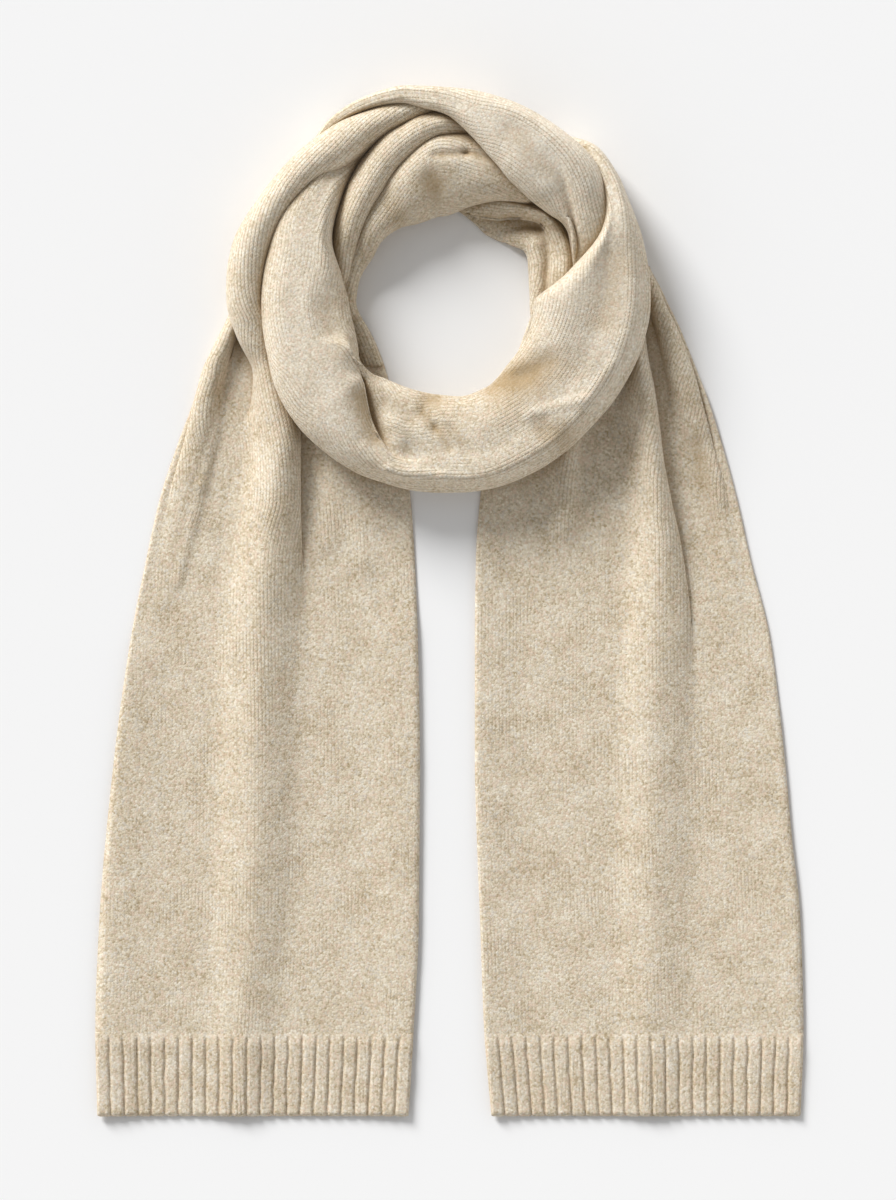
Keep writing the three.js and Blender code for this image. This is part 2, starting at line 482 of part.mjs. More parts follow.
// Outline of a stretch that lies on others: a soft flat roll with one crease in its top face
function stretchOutline(row) {
  const width = row.outer - row.inner;
  const height = row.top - row.under;
  const floor = row.top - row.depth;
  const inside = Math.min(floor + row.lip, row.top);
  const brow = Math.min(OUTLINE.browWidth, (row.outer - row.valley) * OUTLINE.brow);
  const near = brow * OUTLINE.browNear;
  const points = [
    [THREE.MathUtils.lerp(row.outer, row.inner, OUTLINE.half), row.under],
    [row.outer - width * OUTLINE.foot, row.under],
    [row.outer, row.under + height * OUTLINE.side],
    [row.outer - width * OUTLINE.shoulderIn, row.top - height * OUTLINE.shoulderDown],
    [THREE.MathUtils.lerp(row.outer, row.valley, OUTLINE.crown), row.top],
    [row.valley + brow, row.top - row.depth * OUTLINE.browDown],
    [row.valley + near - row.lap, row.top - row.depth * OUTLINE.half],
    [row.valley - near, floor],
    [THREE.MathUtils.lerp(row.valley, row.inner, OUTLINE.half), inside],
    [row.inner + width * OUTLINE.lipIn, inside - (inside - row.under) * OUTLINE.lipDown],
    [row.inner, row.under + (inside - row.under) * OUTLINE.side],
    [row.inner + width * OUTLINE.foot, row.under],
  ];
  const curve = new THREE.CatmullRomCurve3(
    points.map(([u, z]) => new THREE.Vector3(u, z, 0)),
    true,
    "centripetal",
  );
  return Array.from({ length: points.length * 2 }, (_, k) => {
    const p = curve.getPoint(k / (points.length * 2));
    return [p.x, Math.max(p.y, row.under)];
  });
}

function stretchSolid(rows) {
  const [from, to] = [rows[0].at, rows[rows.length - 1].at];
  const steps = Math.round(Math.abs(to - from) / RING_STEP);
  const rings = Array.from({ length: steps + 1 }, (_, i) => {
    const at = THREE.MathUtils.lerp(from, to, i / steps);
    return stretchOutline(rowAt(rows, "at", at)).map(([u, z]) => placeAtAngle(at, u, z));
  });
  return loftGeometry(rings);
}

const wasm = await Module();
wasm.setup();

function solidOf(geometry) {
  const merged = mergeVertices(geometry.deleteAttribute("normal"), MERGE);
  const triVerts = new Uint32Array(merged.index.array);
  const vertProperties = merged.attributes.position.array;
  const solid = new wasm.Manifold(new wasm.Mesh({ numProp: 3, vertProperties, triVerts }));
  if (solid.volume() < 0) throw new Error("a solid is inside out");
  return solid;
}

// The same surface with every point moved out along its normal
function movedOut(geometry, distance) {
  const merged = mergeVertices(geometry.deleteAttribute("normal"), MERGE);
  merged.computeVertexNormals();
  const { position, normal } = merged.attributes;
  for (let i = 0; i < position.count; i += 1) {
    const p = new THREE.Vector3().fromBufferAttribute(position, i);
    p.addScaledVector(new THREE.Vector3().fromBufferAttribute(normal, i), distance);
    position.setXYZ(i, p.x, p.y, p.z);
  }
  return merged;
}

function geometryFrom(solid) {
  const { vertProperties, triVerts } = solid.getMesh();
  const geometry = new THREE.BufferGeometry();
  geometry.setAttribute("position", new THREE.Float32BufferAttribute(vertProperties, 3));
  geometry.setIndex(Array.from(triVerts));
  return geometry;
}

function largestBody(solid) {
  return solid.decompose().reduce((best, body) => (body.volume() > best.volume() ? body : best));
}

// The largest body left of a solid once its neighbours' clearance is cut away
function fitted(solid, neighbours) {
  const cut = neighbours.reduce((left, neighbour) => left.subtract(neighbour), solid);
  const clean = largestBody(cut.simplify(SLIVER));
  return largestBody(solidOf(geometryFrom(clean)));
}

const leftEnd = { side: -1, edges: LEFT_EDGES, flap: LEFT_FLAP, ridge: LEFT_RIDGE, wave: LEFT_WAVE };
const rightEnd = { side: 1, edges: RIGHT_EDGES, flap: RIGHT_FLAP, ridge: RIGHT_RIDGE, wave: RIGHT_WAVE };

// Each stretch, and those that lie on it or press into it, from which it is cut back
const stretches = {
  wrap_over: { make: () => stretchSolid(WRAP_OVER), over: ["front_loop"] },
  wrap_left: { make: () => rollSolid(-1, LEFT_ROLL, SEAM.roll, TURN.roll), over: ["wrap_over"] },
  front_loop: {
    make: () => stretchSolid(FRONT_LOOP),
    over: ["wrap_left", "end_left", "end_right"],
  },
  fold_left: {
    make: () => rollSolid(-1, LEFT_FOLD, TURN.start, TURN.fold),
    over: ["wrap_over", "wrap_left", "front_loop"],
  },
  neck_back: {
    make: () => rollSolid(-1, NECK_BAND, TURN.start, TURN.neck),
    over: ["wrap_over", "wrap_left", "front_loop", "fold_left"],
  },
  neck_under: {
    make: () => stretchSolid(NECK_UNDER),
    over: ["wrap_over", "front_loop", "fold_left", "neck_back"],
  },
  end_left: {
    make: () => endWall(leftEnd, HEM.top, SEAM.left, TAIL_STATIONS),
    over: ["wrap_left"],
  },
  end_right: {
    make: () => endWall(rightEnd, HEM.top, SEAM.right, TAIL_STATIONS),
    over: ["wrap_over", "neck_under"],
  },
  hem_left: { make: () => hemWall(leftEnd), over: [] },
  hem_right: { make: () => hemWall(rightEnd), over: [] },
};

const scarf = new THREE.Group();
scarf.name = "knit_scarf";

function material({ colour, roughness, metalness }) {
  return new THREE.MeshStandardMaterial({ color: colour, roughness, metalness });
}

const clearances = new Map();
function clearanceOf(name) {
  if (!clearances.has(name)) clearances.set(name, solidOf(movedOut(stretches[name].make(), GAP * CORNER)));
  return clearances.get(name);
}

for (const [name, { make, over }] of Object.entries(stretches)) {
  const solid = fitted(solidOf(make()), over.map(clearanceOf));
  const yarn = name.startsWith("hem") ? RIB_YARN : YARN;
  const mesh = new THREE.Mesh(geometryFrom(solid), material(yarn));
  mesh.name = name;
  scarf.add(mesh);
}

export default scarf;
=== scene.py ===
"""Dress the wound knit scarf: fine cloth sheets, ribbed hems, brushed wool, floor, light and camera."""

import logging
import math
from dataclasses import dataclass
from enum import Enum
from typing import Sequence

import bpy
import numpy as np
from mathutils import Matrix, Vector, noise


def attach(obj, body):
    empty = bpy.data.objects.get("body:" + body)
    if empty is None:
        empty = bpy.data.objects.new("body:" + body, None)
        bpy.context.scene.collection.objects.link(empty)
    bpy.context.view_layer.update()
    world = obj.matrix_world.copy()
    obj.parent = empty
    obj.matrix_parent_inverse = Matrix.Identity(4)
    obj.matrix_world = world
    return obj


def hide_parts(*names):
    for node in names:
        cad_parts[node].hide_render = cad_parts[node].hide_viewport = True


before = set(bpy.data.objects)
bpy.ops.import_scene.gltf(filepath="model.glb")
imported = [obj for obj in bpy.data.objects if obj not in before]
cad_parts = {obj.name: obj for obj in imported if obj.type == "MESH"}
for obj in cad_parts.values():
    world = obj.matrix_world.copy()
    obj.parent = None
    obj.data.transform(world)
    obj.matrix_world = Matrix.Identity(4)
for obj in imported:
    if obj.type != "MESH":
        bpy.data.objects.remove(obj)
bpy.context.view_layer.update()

LOG = logging.getLogger("scarf")
MM = 0.001
ROOT = "root"
SMALL = 1e-9  # keeps a division safe

# Lengths in millimetres, as in the tables below
RING_X, RING_Y, RING_RADIUS = -6.5, 287.5, 145.0
WALL = 3.0
HALF_WALL = WALL / 2
HEM_EDGE, HEM_JOINT = -783.0, -703.0
JOINT = 0.05  # first row of a joined edge, so that its shading stays level up to the joint
LEAST_TOP = 0.2  # the cloth's upper face stays at least this high
LEAST_SPAN = 0.001  # outline points count as at least this far apart

# A roll's side from its foot upwards, in shares of its half width and its rise
SOFT_SIDE = ((1.0, 0.0), (0.68, 0.14), (0.34, 0.66))
TUCKED_SIDE = ((0.45, 0.0), (1.0, 0.36), (0.72, 0.86))
ROLL_POINTS = 2 * len(SOFT_SIDE) + 1

# The outline of a stretch that lies on others, in shares of its width, height or crease
FOOT_IN, BELLY_UP = 0.2, 0.42
SHOULDER_IN, SHOULDER_DOWN = 0.09, 0.2
CREST_IN, CREST_DOWN = 0.42, 0.03
BROW_DOWN, WALL_DOWN, LIP_IN, LIP_DOWN = 0.12, 0.5, 0.08, 0.2
SHARP_BROW, SOFT_BROW, BROW_SHARE, VALLEY_SHARE = 8.0, 12.0, 0.3, 0.25
SHARP_LAP = 3.0


class Side(Enum):
    """Which end of the scarf a sheet belongs to."""

    LEFT = -1
    RIGHT = 1


class Hold(Enum):
    """How a sheet of cloth lies."""

    LAID = "laid"
    FOLDED = "folded"


@dataclass(frozen=True)
class SectionTable:
    """Named columns of section sizes, read on a smooth line between their rows.

    The first column is the place along the stretch; all sizes are in millimetres.
    """

    columns: tuple[str, ...]
    rows: tuple[tuple[float, ...], ...]

    @property
    def span(self) -> tuple[float, float]:
        """Return the places of the first and the last row."""
        return self.rows[0][0], self.rows[-1][0]

    def at(self, places: np.ndarray) -> dict[str, np.ndarray]:
        """Read every column at some places.

        Args:
            places: positions along the stretch, in the first column's terms.

        Returns:
            One array for each column but the first.
        """
        table = np.array(self.rows, float)
        if table[0, 0] > table[-1, 0]:
            table = table[::-1]
        return {
            name: monotone(table[:, 0], table[:, k + 1], np.asarray(places, float))
            for k, name in enumerate(self.columns[1:])
        }


def hermite(t: np.ndarray, a: np.ndarray, leave: np.ndarray, b: np.ndarray, arrive: np.ndarray) -> np.ndarray:
    """Run a cubic line between two values with a given slope at each.

    Args:
        t: shares of the way.
        a: value at the start.
        leave: slope at the start.
        b: value at the end.
        arrive: slope at the end.

    Returns:
        The values at those shares.
    """
    return (
        (2 * t**3 - 3 * t**2 + 1) * a + (t**3 - 2 * t**2 + t) * leave
        + (3 * t**2 - 2 * t**3) * b + (t**3 - t**2) * arrive
    )


def monotone(x: np.ndarray, y: np.ndarray, at: np.ndarray) -> np.ndarray:
    """Interpolate on a cubic line that never overshoots its points.

    Args:
        x: rising positions of the points.
        y: their values.
        at: where the line is read; it's level beyond the last points.

    Returns:
        The values at those positions.
    """
    step = np.diff(x)
    slope = np.diff(y) / step
    before, after = slope[:-1], slope[1:]
    total = np.where(before + after == 0, 1, before + after)
    inner = np.where(before * after > 0, 2 * before * after / total, 0.0)
    tangent = np.concatenate([[slope[0]], inner, [slope[-1]]])
    at = np.clip(at, x[0], x[-1])
    i = np.clip(np.searchsorted(x, at, side="right") - 1, 0, len(x) - 2)
    return hermite((at - x[i]) / step[i], y[i], step[i] * tangent[i], y[i + 1], step[i] * tangent[i + 1])


EDGE_COLUMNS = ("run", "outer", "inner")
ROLL_COLUMNS = ("run", "crest", "outer", "inner", "rise", "tuck_outer", "tuck_inner")
BAND_COLUMNS = ("at", "outer", "inner", "under", "top", "valley", "depth", "lap", "lip")

LEFT_EDGES = SectionTable(EDGE_COLUMNS, (
    (-783, 333, 33), (-700, 335, 28), (-593, 331, 23), (-439, 317, 22), (-323, 301, 24),
    (-246, 286, 27), (-188, 273, 31), (-130, 254, 40), (-92, 240, 48), (-63, 232, 55),
    (-34, 218, 66), (3, 202, 86), (38, 196, 96), (76, 190, 104), (152, 186, 116), (272, 190, 150),
))
RIGHT_EDGES = SectionTable(EDGE_COLUMNS, (
    (-783, 345, 47), (-700, 348, 40), (-593, 345, 36), (-516, 337, 33), (-439, 330, 31),
    (-323, 316, 31), (-246, 297, 32), (-188, 284, 36), (-130, 268, 45), (-92, 256, 56),
    (-53, 241, 70), (-14, 225, 84), (6, 214, 92), (24, 203, 98),
))
LEFT_RIDGE = SectionTable(ROLL_COLUMNS, (
    (-783, 196, 46, 42, 3.5, 0, 0), (-690, 192, 48, 44, 6, 0, 0), (-593, 184, 52, 50, 9, 0, 0),
    (-480, 179, 58, 54, 11, 0, 0), (-381, 178, 58, 55, 12.5, 0, 0), (-300, 174, 54, 48, 14.5, 0, 0.15),
    (-227, 166, 48, 36, 18, 0, 0.4), (-188, 162, 46, 27, 22, 0, 0.65),
    (-130, 155, 44, 19, 25, 0.05, 0.8), (-92, 162, 26, 24, 25, 0.35, 0.7), (-60, 168, 16, 25, 26, 0.8, 0.7),
    (-34, 180, 16, 24, 32, 1, 0.8), (-15, 186, 17, 22, 37, 1, 1), (0, 189, 17, 18, 40, 1, 1),
    (38, 191, 17, 19, 45, 1, 1), (76, 187, 15, 15, 48, 1, 1), (114, 184, 16, 16, 49, 1, 1),
    (139, 181, 18, 20, 49, 1, 1), (152, 181, 18, 19, 48, 1, 1), (171, 183, 15, 15, 45, 1, 1),
    (190, 186, 13, 12, 42, 1, 1), (228, 192, 11, 11, 35, 1, 1), (258, 193, 11, 10, 30, 1, 1),
    (272, 193, 9, 9, 2, 1, 1),
))
RIGHT_RIDGE = SectionTable(ROLL_COLUMNS, (
    (-783, 200, 46, 46, 3, 0, 0), (-593, 201, 48, 46, 6, 0.05, 0), (-439, 203, 48, 48, 8, 0.1, 0),
    (-381, 204, 46, 48, 10, 0.15, 0), (-290, 208, 36, 46, 13.5, 0.4, 0), (-227, 209, 22, 44, 17, 0.6, 0),
    (-188, 206, 14, 42, 20, 0.8, 0),
    (-130, 200, 10, 34, 23, 0.8, 0), (-92, 195, 10, 28, 23, 0.8, 0.1), (-53, 188, 10, 24, 21, 0.8, 0.2),
    (10, 178, 14, 22, 17, 0.8, 0.4),
))
LEFT_FLAP = SectionTable(ROLL_COLUMNS, (
    (-323, 276, 18, 12, 0, 0, 0), (-188, 248, 20, 28, 3.5, 0.3, 0), (-130, 234, 16, 24, 8, 0.7, 0),
    (-63, 219, 11, 12, 14, 0.9, 0.2), (-34, 208, 9, 9, 15, 0.9, 0.4), (3, 192, 7, 8, 13, 0.9, 0.4),
    (60, 186, 4, 4, 6, 0, 0), (272, 186, 2, 2, 1, 0, 0),
))
RIGHT_FLAP = SectionTable(ROLL_COLUMNS, (
    (-323, 288, 18, 14, 0, 0, 0), (-188, 258, 20, 26, 3.5, 0.3, 0), (-130, 243, 18, 22, 7, 0.7, 0),
    (-53, 224, 14, 14, 14, 0.9, 0.2), (6, 203, 8, 8, 14, 0.9, 0.4), (24, 194, 7, 7, 12, 0.9, 0.4),
))
LEFT_WAVE = SectionTable(ROLL_COLUMNS, (
    (-246, 92, 26, 26, 0, 0, 0), (-130, 92, 24, 24, 5, 0, 0), (-4, 122, 16, 16, 9, 0, 0),
    (60, 140, 12, 12, 5, 0, 0), (272, 165, 6, 6, 1, 0, 0),
))
RIGHT_WAVE = SectionTable(ROLL_COLUMNS, (
    (-246, 118, 26, 26, 0, 0, 0), (-150, 120, 18, 20, 8, 0, 0), (10, 126, 16, 18, 10, 0, 0),
))
INNER_FOLD = SectionTable(ROLL_COLUMNS, (
    (3, 104, 10, 9, 14, 1, 1), (38, 103, 10, 10, 20, 1, 1), (76, 109, 16, 11, 30, 0.8, 1),
    (104, 118, 19, 14, 38, 0.7, 1), (139, 131, 21, 16, 43, 0.8, 1), (159, 141, 20, 18, 44, 0.9, 1),
    (180, 152, 20, 18, 44, 1, 1), (195, 160, 16, 18, 44, 1, 1), (210, 167, 14, 16, 45, 1, 1),
    (226, 172, 11, 12, 45, 1, 1), (242, 173, 10, 12, 37, 1, 1),
    (256, 174, 9, 12, 32, 1, 1), (268, 174, 8, 9, 2, 1, 1),
))
NECK_BAND = SectionTable(ROLL_COLUMNS, (
    (-60, 66, 10, 8, 3, 0.5, 1), (-30, 78, 10, 8, 7, 0.8, 1), (3, 94, 8, 9, 14, 1, 1),
    (38, 92, 10, 7, 16, 1, 1), (76, 92, 12, 10, 22, 1, 1), (114, 98, 15, 13, 31, 1, 1),
    (152, 106, 22, 22, 36, 1, 0.9), (190, 124, 23, 49, 42, 1, 0.6), (228, 141, 24, 66, 46, 1, 0.5),
    (266, 137, 29, 43, 42, 1, 0.7), (304, 138, 24, 22, 34, 1, 1), (326, 141, 19, 17, 28, 1, 1),
    (338, 141, 14, 12, 2, 1, 1),
))
FRONT_LOOP = SectionTable(BAND_COLUMNS, (
    (60, 199, 185, 2, 5, 192, 0, 0, 0), (55, 201, 183, 2, 26, 192, 0, 0, 0),
    (45, 212, 194, 3, 42, 203, 0, 0, 0),
    (36, 209, 186, 5, 51, 198, 0, 0, 0), (30, 205, 177, 8, 56, 191, 0, 0, 0),
    (24, 203, 163, 13, 59, 180, 0, 0, 1), (15, 201, 127, 18, 58, 166, 0, 0, 4),
    (0, 200, 87, 21, 57, 156, 0, 0, 5), (-15, 195, 87, 18, 58, 152, 1, 0, 3),
    (-28, 190, 86, 15, 57, 150, 1, 0, 1), (-42, 186, 86, 12, 56, 148, 1, 0, 0),
    (-52, 185, 88, 10, 53, 148, 1, 0, 0), (-62, 185, 91, 7, 50, 148, 1, 0, 0),
    (-75, 184, 91, 6, 48, 152, 1, 0, 0), (-90, 182, 88, 6, 46, 148, 1, 0, 0),
    (-105, 182, 87, 6, 49, 156, 6, 2, 2),
    (-118, 183, 88, 9, 54, 140, 15, 6, 6), (-128, 183, 91, 12, 57, 122, 19, 7, 6),
    (-136, 183, 96, 14, 59, 109, 20, 4, 3), (-144, 182, 97, 15, 60, 104, 12, 0, 0),
    (-154, 180, 91, 16, 60, 106, 2, 0, -2.5), (-165, 176, 88, 16, 59, 130, 0, 0, -7),
    (-180, 175, 90, 15, 57, 132, 0, 0, -6), (-195, 176, 100, 16, 54, 130, 0, 0, -2),
    (-210, 180, 123, 18, 50, 144, 0, 0, 0), (-225, 178, 138, 8, 44, 158, 0, 0, 0),
    (-240, 175, 156, 3, 28, 167, 0, 0, 0), (-250, 176, 164, 2, 22, 170, 0, 0, 0),
    (-255, 175, 166, 2, 5, 170, 0, 0, 0),
))
WRAP_OVER = SectionTable(BAND_COLUMNS, (
    (134, 198, 187, 1, 4, 193, 0, 0, 0), (130, 200, 187, 1, 16, 194, 0, 0, 0),
    (121, 209, 198, 4, 26, 204, 0, 0, 0),
    (112, 212, 199, 18, 39, 206, 0, 0, 0), (102, 212, 196, 32, 48, 204, 0, 0, 0),
    (96, 209, 188, 35, 52, 199, 0, 0, 0), (89, 206, 180, 38, 56, 193, 0, 0, 0),
    (80, 205, 160, 37, 61, 182, 0, 0, 0), (70, 204, 143, 34, 65, 185, 0, 0, 0),
    (60, 202, 132, 30, 68, 181, 1, 0, 0), (49, 201, 129, 26, 68, 172, 6, 0, 1),
    (41, 199, 132, 20, 65, 161, 12, 2, 3), (32, 190, 138, 13, 58, 150, 13, 2, 5),
    (24, 186, 134, 8, 49, 143, 12, 1, 4), (17, 182, 127, 4, 36, 137, 5, 0, 0),
    (5, 178, 124, 2, 24, 150, 0, 0, 0), (0, 176, 128, 2, 5, 150, 0, 0, 0),
))
NECK_UNDER = SectionTable(BAND_COLUMNS, (
    (82, 110, 92, 0, 6, 101, 0, 0, 0), (70, 118, 84, 0, 11, 92, 4, 2, 0),
    (58, 124, 79, 0, 20, 99, 17, 7, 0), (49, 130, 81, 0, 24, 114, 21, 9, 1),
    (40, 137, 87, 0, 27, 125, 20, 7, 5), (32, 142, 93, 0, 26, 120, 12, 3, 6),
    (22, 140, 88, 0, 28, 113, 13, 4, 5), (12, 134, 84, 0, 28, 106, 12, 3, 4),
    (0, 128, 83, 0, 22, 104, 5, 0, 1), (-15, 122, 88, 0, 14, 104, 0, 0, 0),
    (-19, 120, 92, 0, 4, 104, 0, 0, 0),
))


@dataclass(frozen=True)
class SoftMark:
    """A soft trough (below zero) or ridge pressed into cloth along a line, in millimetres."""

    x0: float
    y0: float
    x1: float
    y1: float
    width: float
    height: float

    def lift(self, x: np.ndarray, y: np.ndarray) -> np.ndarray:
        """Work out how far the mark moves each point out of the cloth.

        Args:
            x: across, in millimetres.
            y: along, in millimetres.

        Returns:
            The lift of each point, in millimetres.
        """
        dx, dy = self.x1 - self.x0, self.y1 - self.y0
        length = math.hypot(dx, dy) or 1.0
        share = ((x - self.x0) * dx + (y - self.y0) * dy) / length**2
        aside = np.abs((x - self.x0) * dy - (y - self.y0) * dx) / length
        past = np.maximum(np.maximum(-share, share - 1), 0) * length
        return self.height * np.exp(-(aside**2 + past**2) / self.width**2)


LOOP_MARKS = (
    SoftMark(40, 208, 68, 217, 10, -3), SoftMark(68, 217, 95, 232, 10, -2.5),
    SoftMark(46, 202, 76, 210, 22, -2), SoftMark(76, 210, 104, 226, 22, -1.5),
    SoftMark(75, 180, 131, 195, 5, 1.6), SoftMark(131, 195, 157, 230, 5, 1.6),
    SoftMark(91, 165, 108, 160, 12, -3), SoftMark(-27, 182, -14, 167, 5, -3),
    SoftMark(-14, 167, 0, 148, 5, -2.5), SoftMark(2, 167, 16, 145, 6, -1.5),
    SoftMark(-20, 194, -12, 196, 9, -4),
    SoftMark(-53, 168, -49, 158, 12, 4), SoftMark(-81, 150, -59, 128, 4, 1.5),
    SoftMark(-59, 128, -7, 122, 4, 1.5),
    SoftMark(-7, 122, 34, 117, 4, 1.2), SoftMark(-118, 280, -106, 246, 14, -1.4),
    SoftMark(160, 330, 150, 270, 16, -2),
    SoftMark(-84, 196, -70, 160, 12, -4), SoftMark(-60, 190, -40, 178, 9, -2),
)
LEFT_MARKS = (
    SoftMark(-312, -60, -336, -520, 30, 3), SoftMark(-40, -40, -42, -520, 34, 2.6),
    SoftMark(-200, 228, -206, 200, 12, -6), SoftMark(-206, 200, -212, 130, 14, -4),
    SoftMark(-214, 201, -239, 112, 4, 2.2), SoftMark(-239, 112, -262, 20, 5, 1.5),
    SoftMark(-115, 125, -118, 60, 12, 3), SoftMark(-80, 110, -84, 40, 14, 2),
)
RIGHT_MARKS = (
    SoftMark(30, 40, 36, -520, 26, 3), SoftMark(330, -120, 345, -520, 20, 1.2),
    SoftMark(140, 130, 148, 60, 12, -3),
    SoftMark(152, 171, 145, 80, 14, -4), SoftMark(107, 147, 110, 80, 14, 4),
    SoftMark(68, 109, 65, 40, 14, -2),
    SoftMark(248, 200, 262, 100, 10, 2), SoftMark(240, 150, 250, 60, 16, -3),
)
BACK_MARKS = (
    SoftMark(-14, 429, 16, 431, 4, -3), SoftMark(16, 431, 44, 427, 4, -3),
    SoftMark(-17, 405, -12, 398, 13, -4), SoftMark(-60, 385, -50, 372, 12, -2),
    SoftMark(30, 402, 60, 396, 12, 2),
)
OVER_MARKS = (
    SoftMark(60, 452, 96, 412, 12, -2), SoftMark(20, 470, 60, 462, 12, 1.5),
    SoftMark(96, 440, 130, 400, 14, 2),
)
HOLLOW_MARKS = (
    SoftMark(37, 368, 62, 366, 7, -5), SoftMark(62, 366, 86, 361, 7, -6), SoftMark(12, 372, 30, 360, 9, -3),
)
NO_MARKS: tuple[SoftMark, ...] = ()


def roll_points(roll: dict[str, np.ndarray]) -> list[np.ndarray]:
    """Lay out a roll's outline from its outer foot over the crest to its inner foot.

    Args:
        roll: the roll's columns at each station.

    Returns:
        Seven points, each an array of (distance, height) for all stations.
    """
    def side(half: np.ndarray, tuck: np.ndarray, sign: int) -> list[np.ndarray]:
        """Mix the soft and the tucked side."""
        return [
            np.stack([
                roll["crest"] + sign * half * (a + (c - a) * tuck),
                HALF_WALL + roll["rise"] * (b + (d - b) * tuck),
            ], axis=1)
            for (a, b), (c, d) in zip(SOFT_SIDE, TUCKED_SIDE)
        ]

    return [
        *side(roll["outer"], roll["tuck_outer"], 1),
        np.stack([roll["crest"], HALF_WALL + roll["rise"]], axis=1),
        *reversed(side(roll["inner"], roll["tuck_inner"], -1)),
    ]


def band_points(row: dict[str, np.ndarray]) -> list[np.ndarray]:
    """Lay out the closed outline of a stretch that lies on others, with one crease in its top.

    Args:
        row: the stretch's columns at each station.

    Returns:
        Twelve points, each an array of (distance, height), from the middle of its underside outwards.
    """
    outer, inner, under, top, valley = (row[k] for k in ("outer", "inner", "under", "top", "valley"))
    width, height = outer - inner, top - under
    floor = top - row["depth"]
    inside = floor + row["lip"]
    soft = 1 - np.clip(row["lap"] / SHARP_LAP, 0, 1)
    brow = np.minimum(SHARP_BROW + SOFT_BROW * soft, (outer - valley) * BROW_SHARE)
    points = (
        ((outer + inner) / 2, under),
        (outer - width * FOOT_IN, under),
        (outer, under + height * BELLY_UP),
        (outer - width * SHOULDER_IN, top - height * SHOULDER_DOWN),
        (outer + (valley - outer) * CREST_IN, top - height * CREST_DOWN * soft),
        (valley + brow, top - row["depth"] * BROW_DOWN),
        (valley + brow * VALLEY_SHARE - row["lap"], top - row["depth"] * WALL_DOWN),
        (valley - brow * VALLEY_SHARE, floor),
        ((valley + inner) / 2, inside),
        (inner + width * LIP_IN, inside - (inside - under) * LIP_DOWN),
        (inner, under + (inside - under) * BELLY_UP),
        (inner + width * FOOT_IN, under),
    )
    return [np.stack([u, z], axis=1) for u, z in points]


def smooth_sections(points: Sequence[np.ndarray], closed: bool, step: float) -> np.ndarray:
    """Run a centripetal smooth line through the outline points of every station.

    Args:
        points: outline points, each an array of (distance, height) for all stations.
        closed: whether the last point joins the first.
        step: spacing of the samples, in millimetres.

    Returns:
        An array of stations by samples by (distance, height).
    """
    p = np.stack(points, axis=1)
    count = p.shape[1]
    longest = np.linalg.norm(np.roll(p, -1, axis=1) - p, axis=2).mean(axis=0)

    def pick(k: int) -> np.ndarray:
        """Return outline point k, wrapped round or carried past the ends."""
        if closed:
            return p[:, k % count]
        if k < 0:
            return 2 * p[:, 0] - p[:, 1]
        if k >= count:
            return 2 * p[:, -1] - p[:, -2]
        return p[:, k]

    pieces = []
    for k in range(count if closed else count - 1):
        p0, p1, p2, p3 = (pick(k + d) for d in (-1, 0, 1, 2))
        d1, d2, d3 = (
            np.sqrt(np.maximum(np.linalg.norm(b - a, axis=1), LEAST_SPAN))[:, None]
            for a, b in ((p0, p1), (p1, p2), (p2, p3))
        )
        m1 = ((p1 - p0) / d1 - (p2 - p0) / (d1 + d2) + (p2 - p1) / d2) * d2
        m2 = ((p2 - p1) / d2 - (p3 - p1) / (d2 + d3) + (p3 - p2) / d3) * d2
        t = np.linspace(0, 1, max(3, round(float(longest[k]) / step)), endpoint=False)[None, :, None]
        pieces.append(hermite(t, *(v[:, None, :] for v in (p1, m1, p2, m2))))
    if not closed:
        pieces.append(p[:, -1:, :])
    return np.concatenate(pieces, axis=1)


def soften(grid: np.ndarray, passes: int) -> np.ndarray:
    """Even out a grid along both directions, with its borders kept.

    Args:
        grid: rows by columns, with or without values for each.
        passes: how often the three-point mean is taken.

    Returns:
        The softened grid.
    """
    out = grid.copy()
    for _ in range(passes):
        out[1:-1] = (out[:-2] + 2 * out[1:-1] + out[2:]) / 4
        out[:, 1:-1] = (out[:, :-2] + 2 * out[:, 1:-1] + out[:, 2:]) / 4
    return out


def place_by_run(side: Side, run: np.ndarray, section: np.ndarray) -> np.ndarray:
    """Put sections of an end or a roll in place.

    Args:
        side: the left or the right end.
        run: millimetres along the scarf from the ring's side, one for each station.
        section: stations by samples by (distance, height).

    Returns:
        Stations by samples by (x, y, z), in millimetres.
    """
    u, z = section[..., 0], section[..., 1]
    turn = np.maximum(run, 0)[:, None] / RING_RADIUS
    x = RING_X + side.value * u * np.cos(turn)
    y = RING_Y + np.minimum(run, 0)[:, None] + u * np.sin(turn)
    return np.stack([x, y, z], axis=2)


def place_by_angle(degrees: np.ndarray, section: np.ndarray) -> np.ndarray:
    """Put sections of a stretch in place round the ring.

    Args:
        degrees: angle of each station from +X.
        section: stations by samples by (radius, height).

    Returns:
        Stations by samples by (x, y, z), in millimetres.
    """
    turn = np.radians(degrees)[:, None]
    u, z = section[..., 0], section[..., 1]
    return np.stack([RING_X + u * np.cos(turn), RING_Y + u * np.sin(turn), z], axis=2)


def grid_normals(grid: np.ndarray) -> np.ndarray:
    """Work out unit normals of a grid, pointing along rows x columns.

    Args:
        grid: rows by columns by (x, y, z).

    Returns:
        One unit vector for each point.
    """
    normal = np.cross(np.gradient(grid, axis=0), np.gradient(grid, axis=1))
    return normal / np.maximum(np.linalg.norm(normal, axis=2, keepdims=True), SMALL)


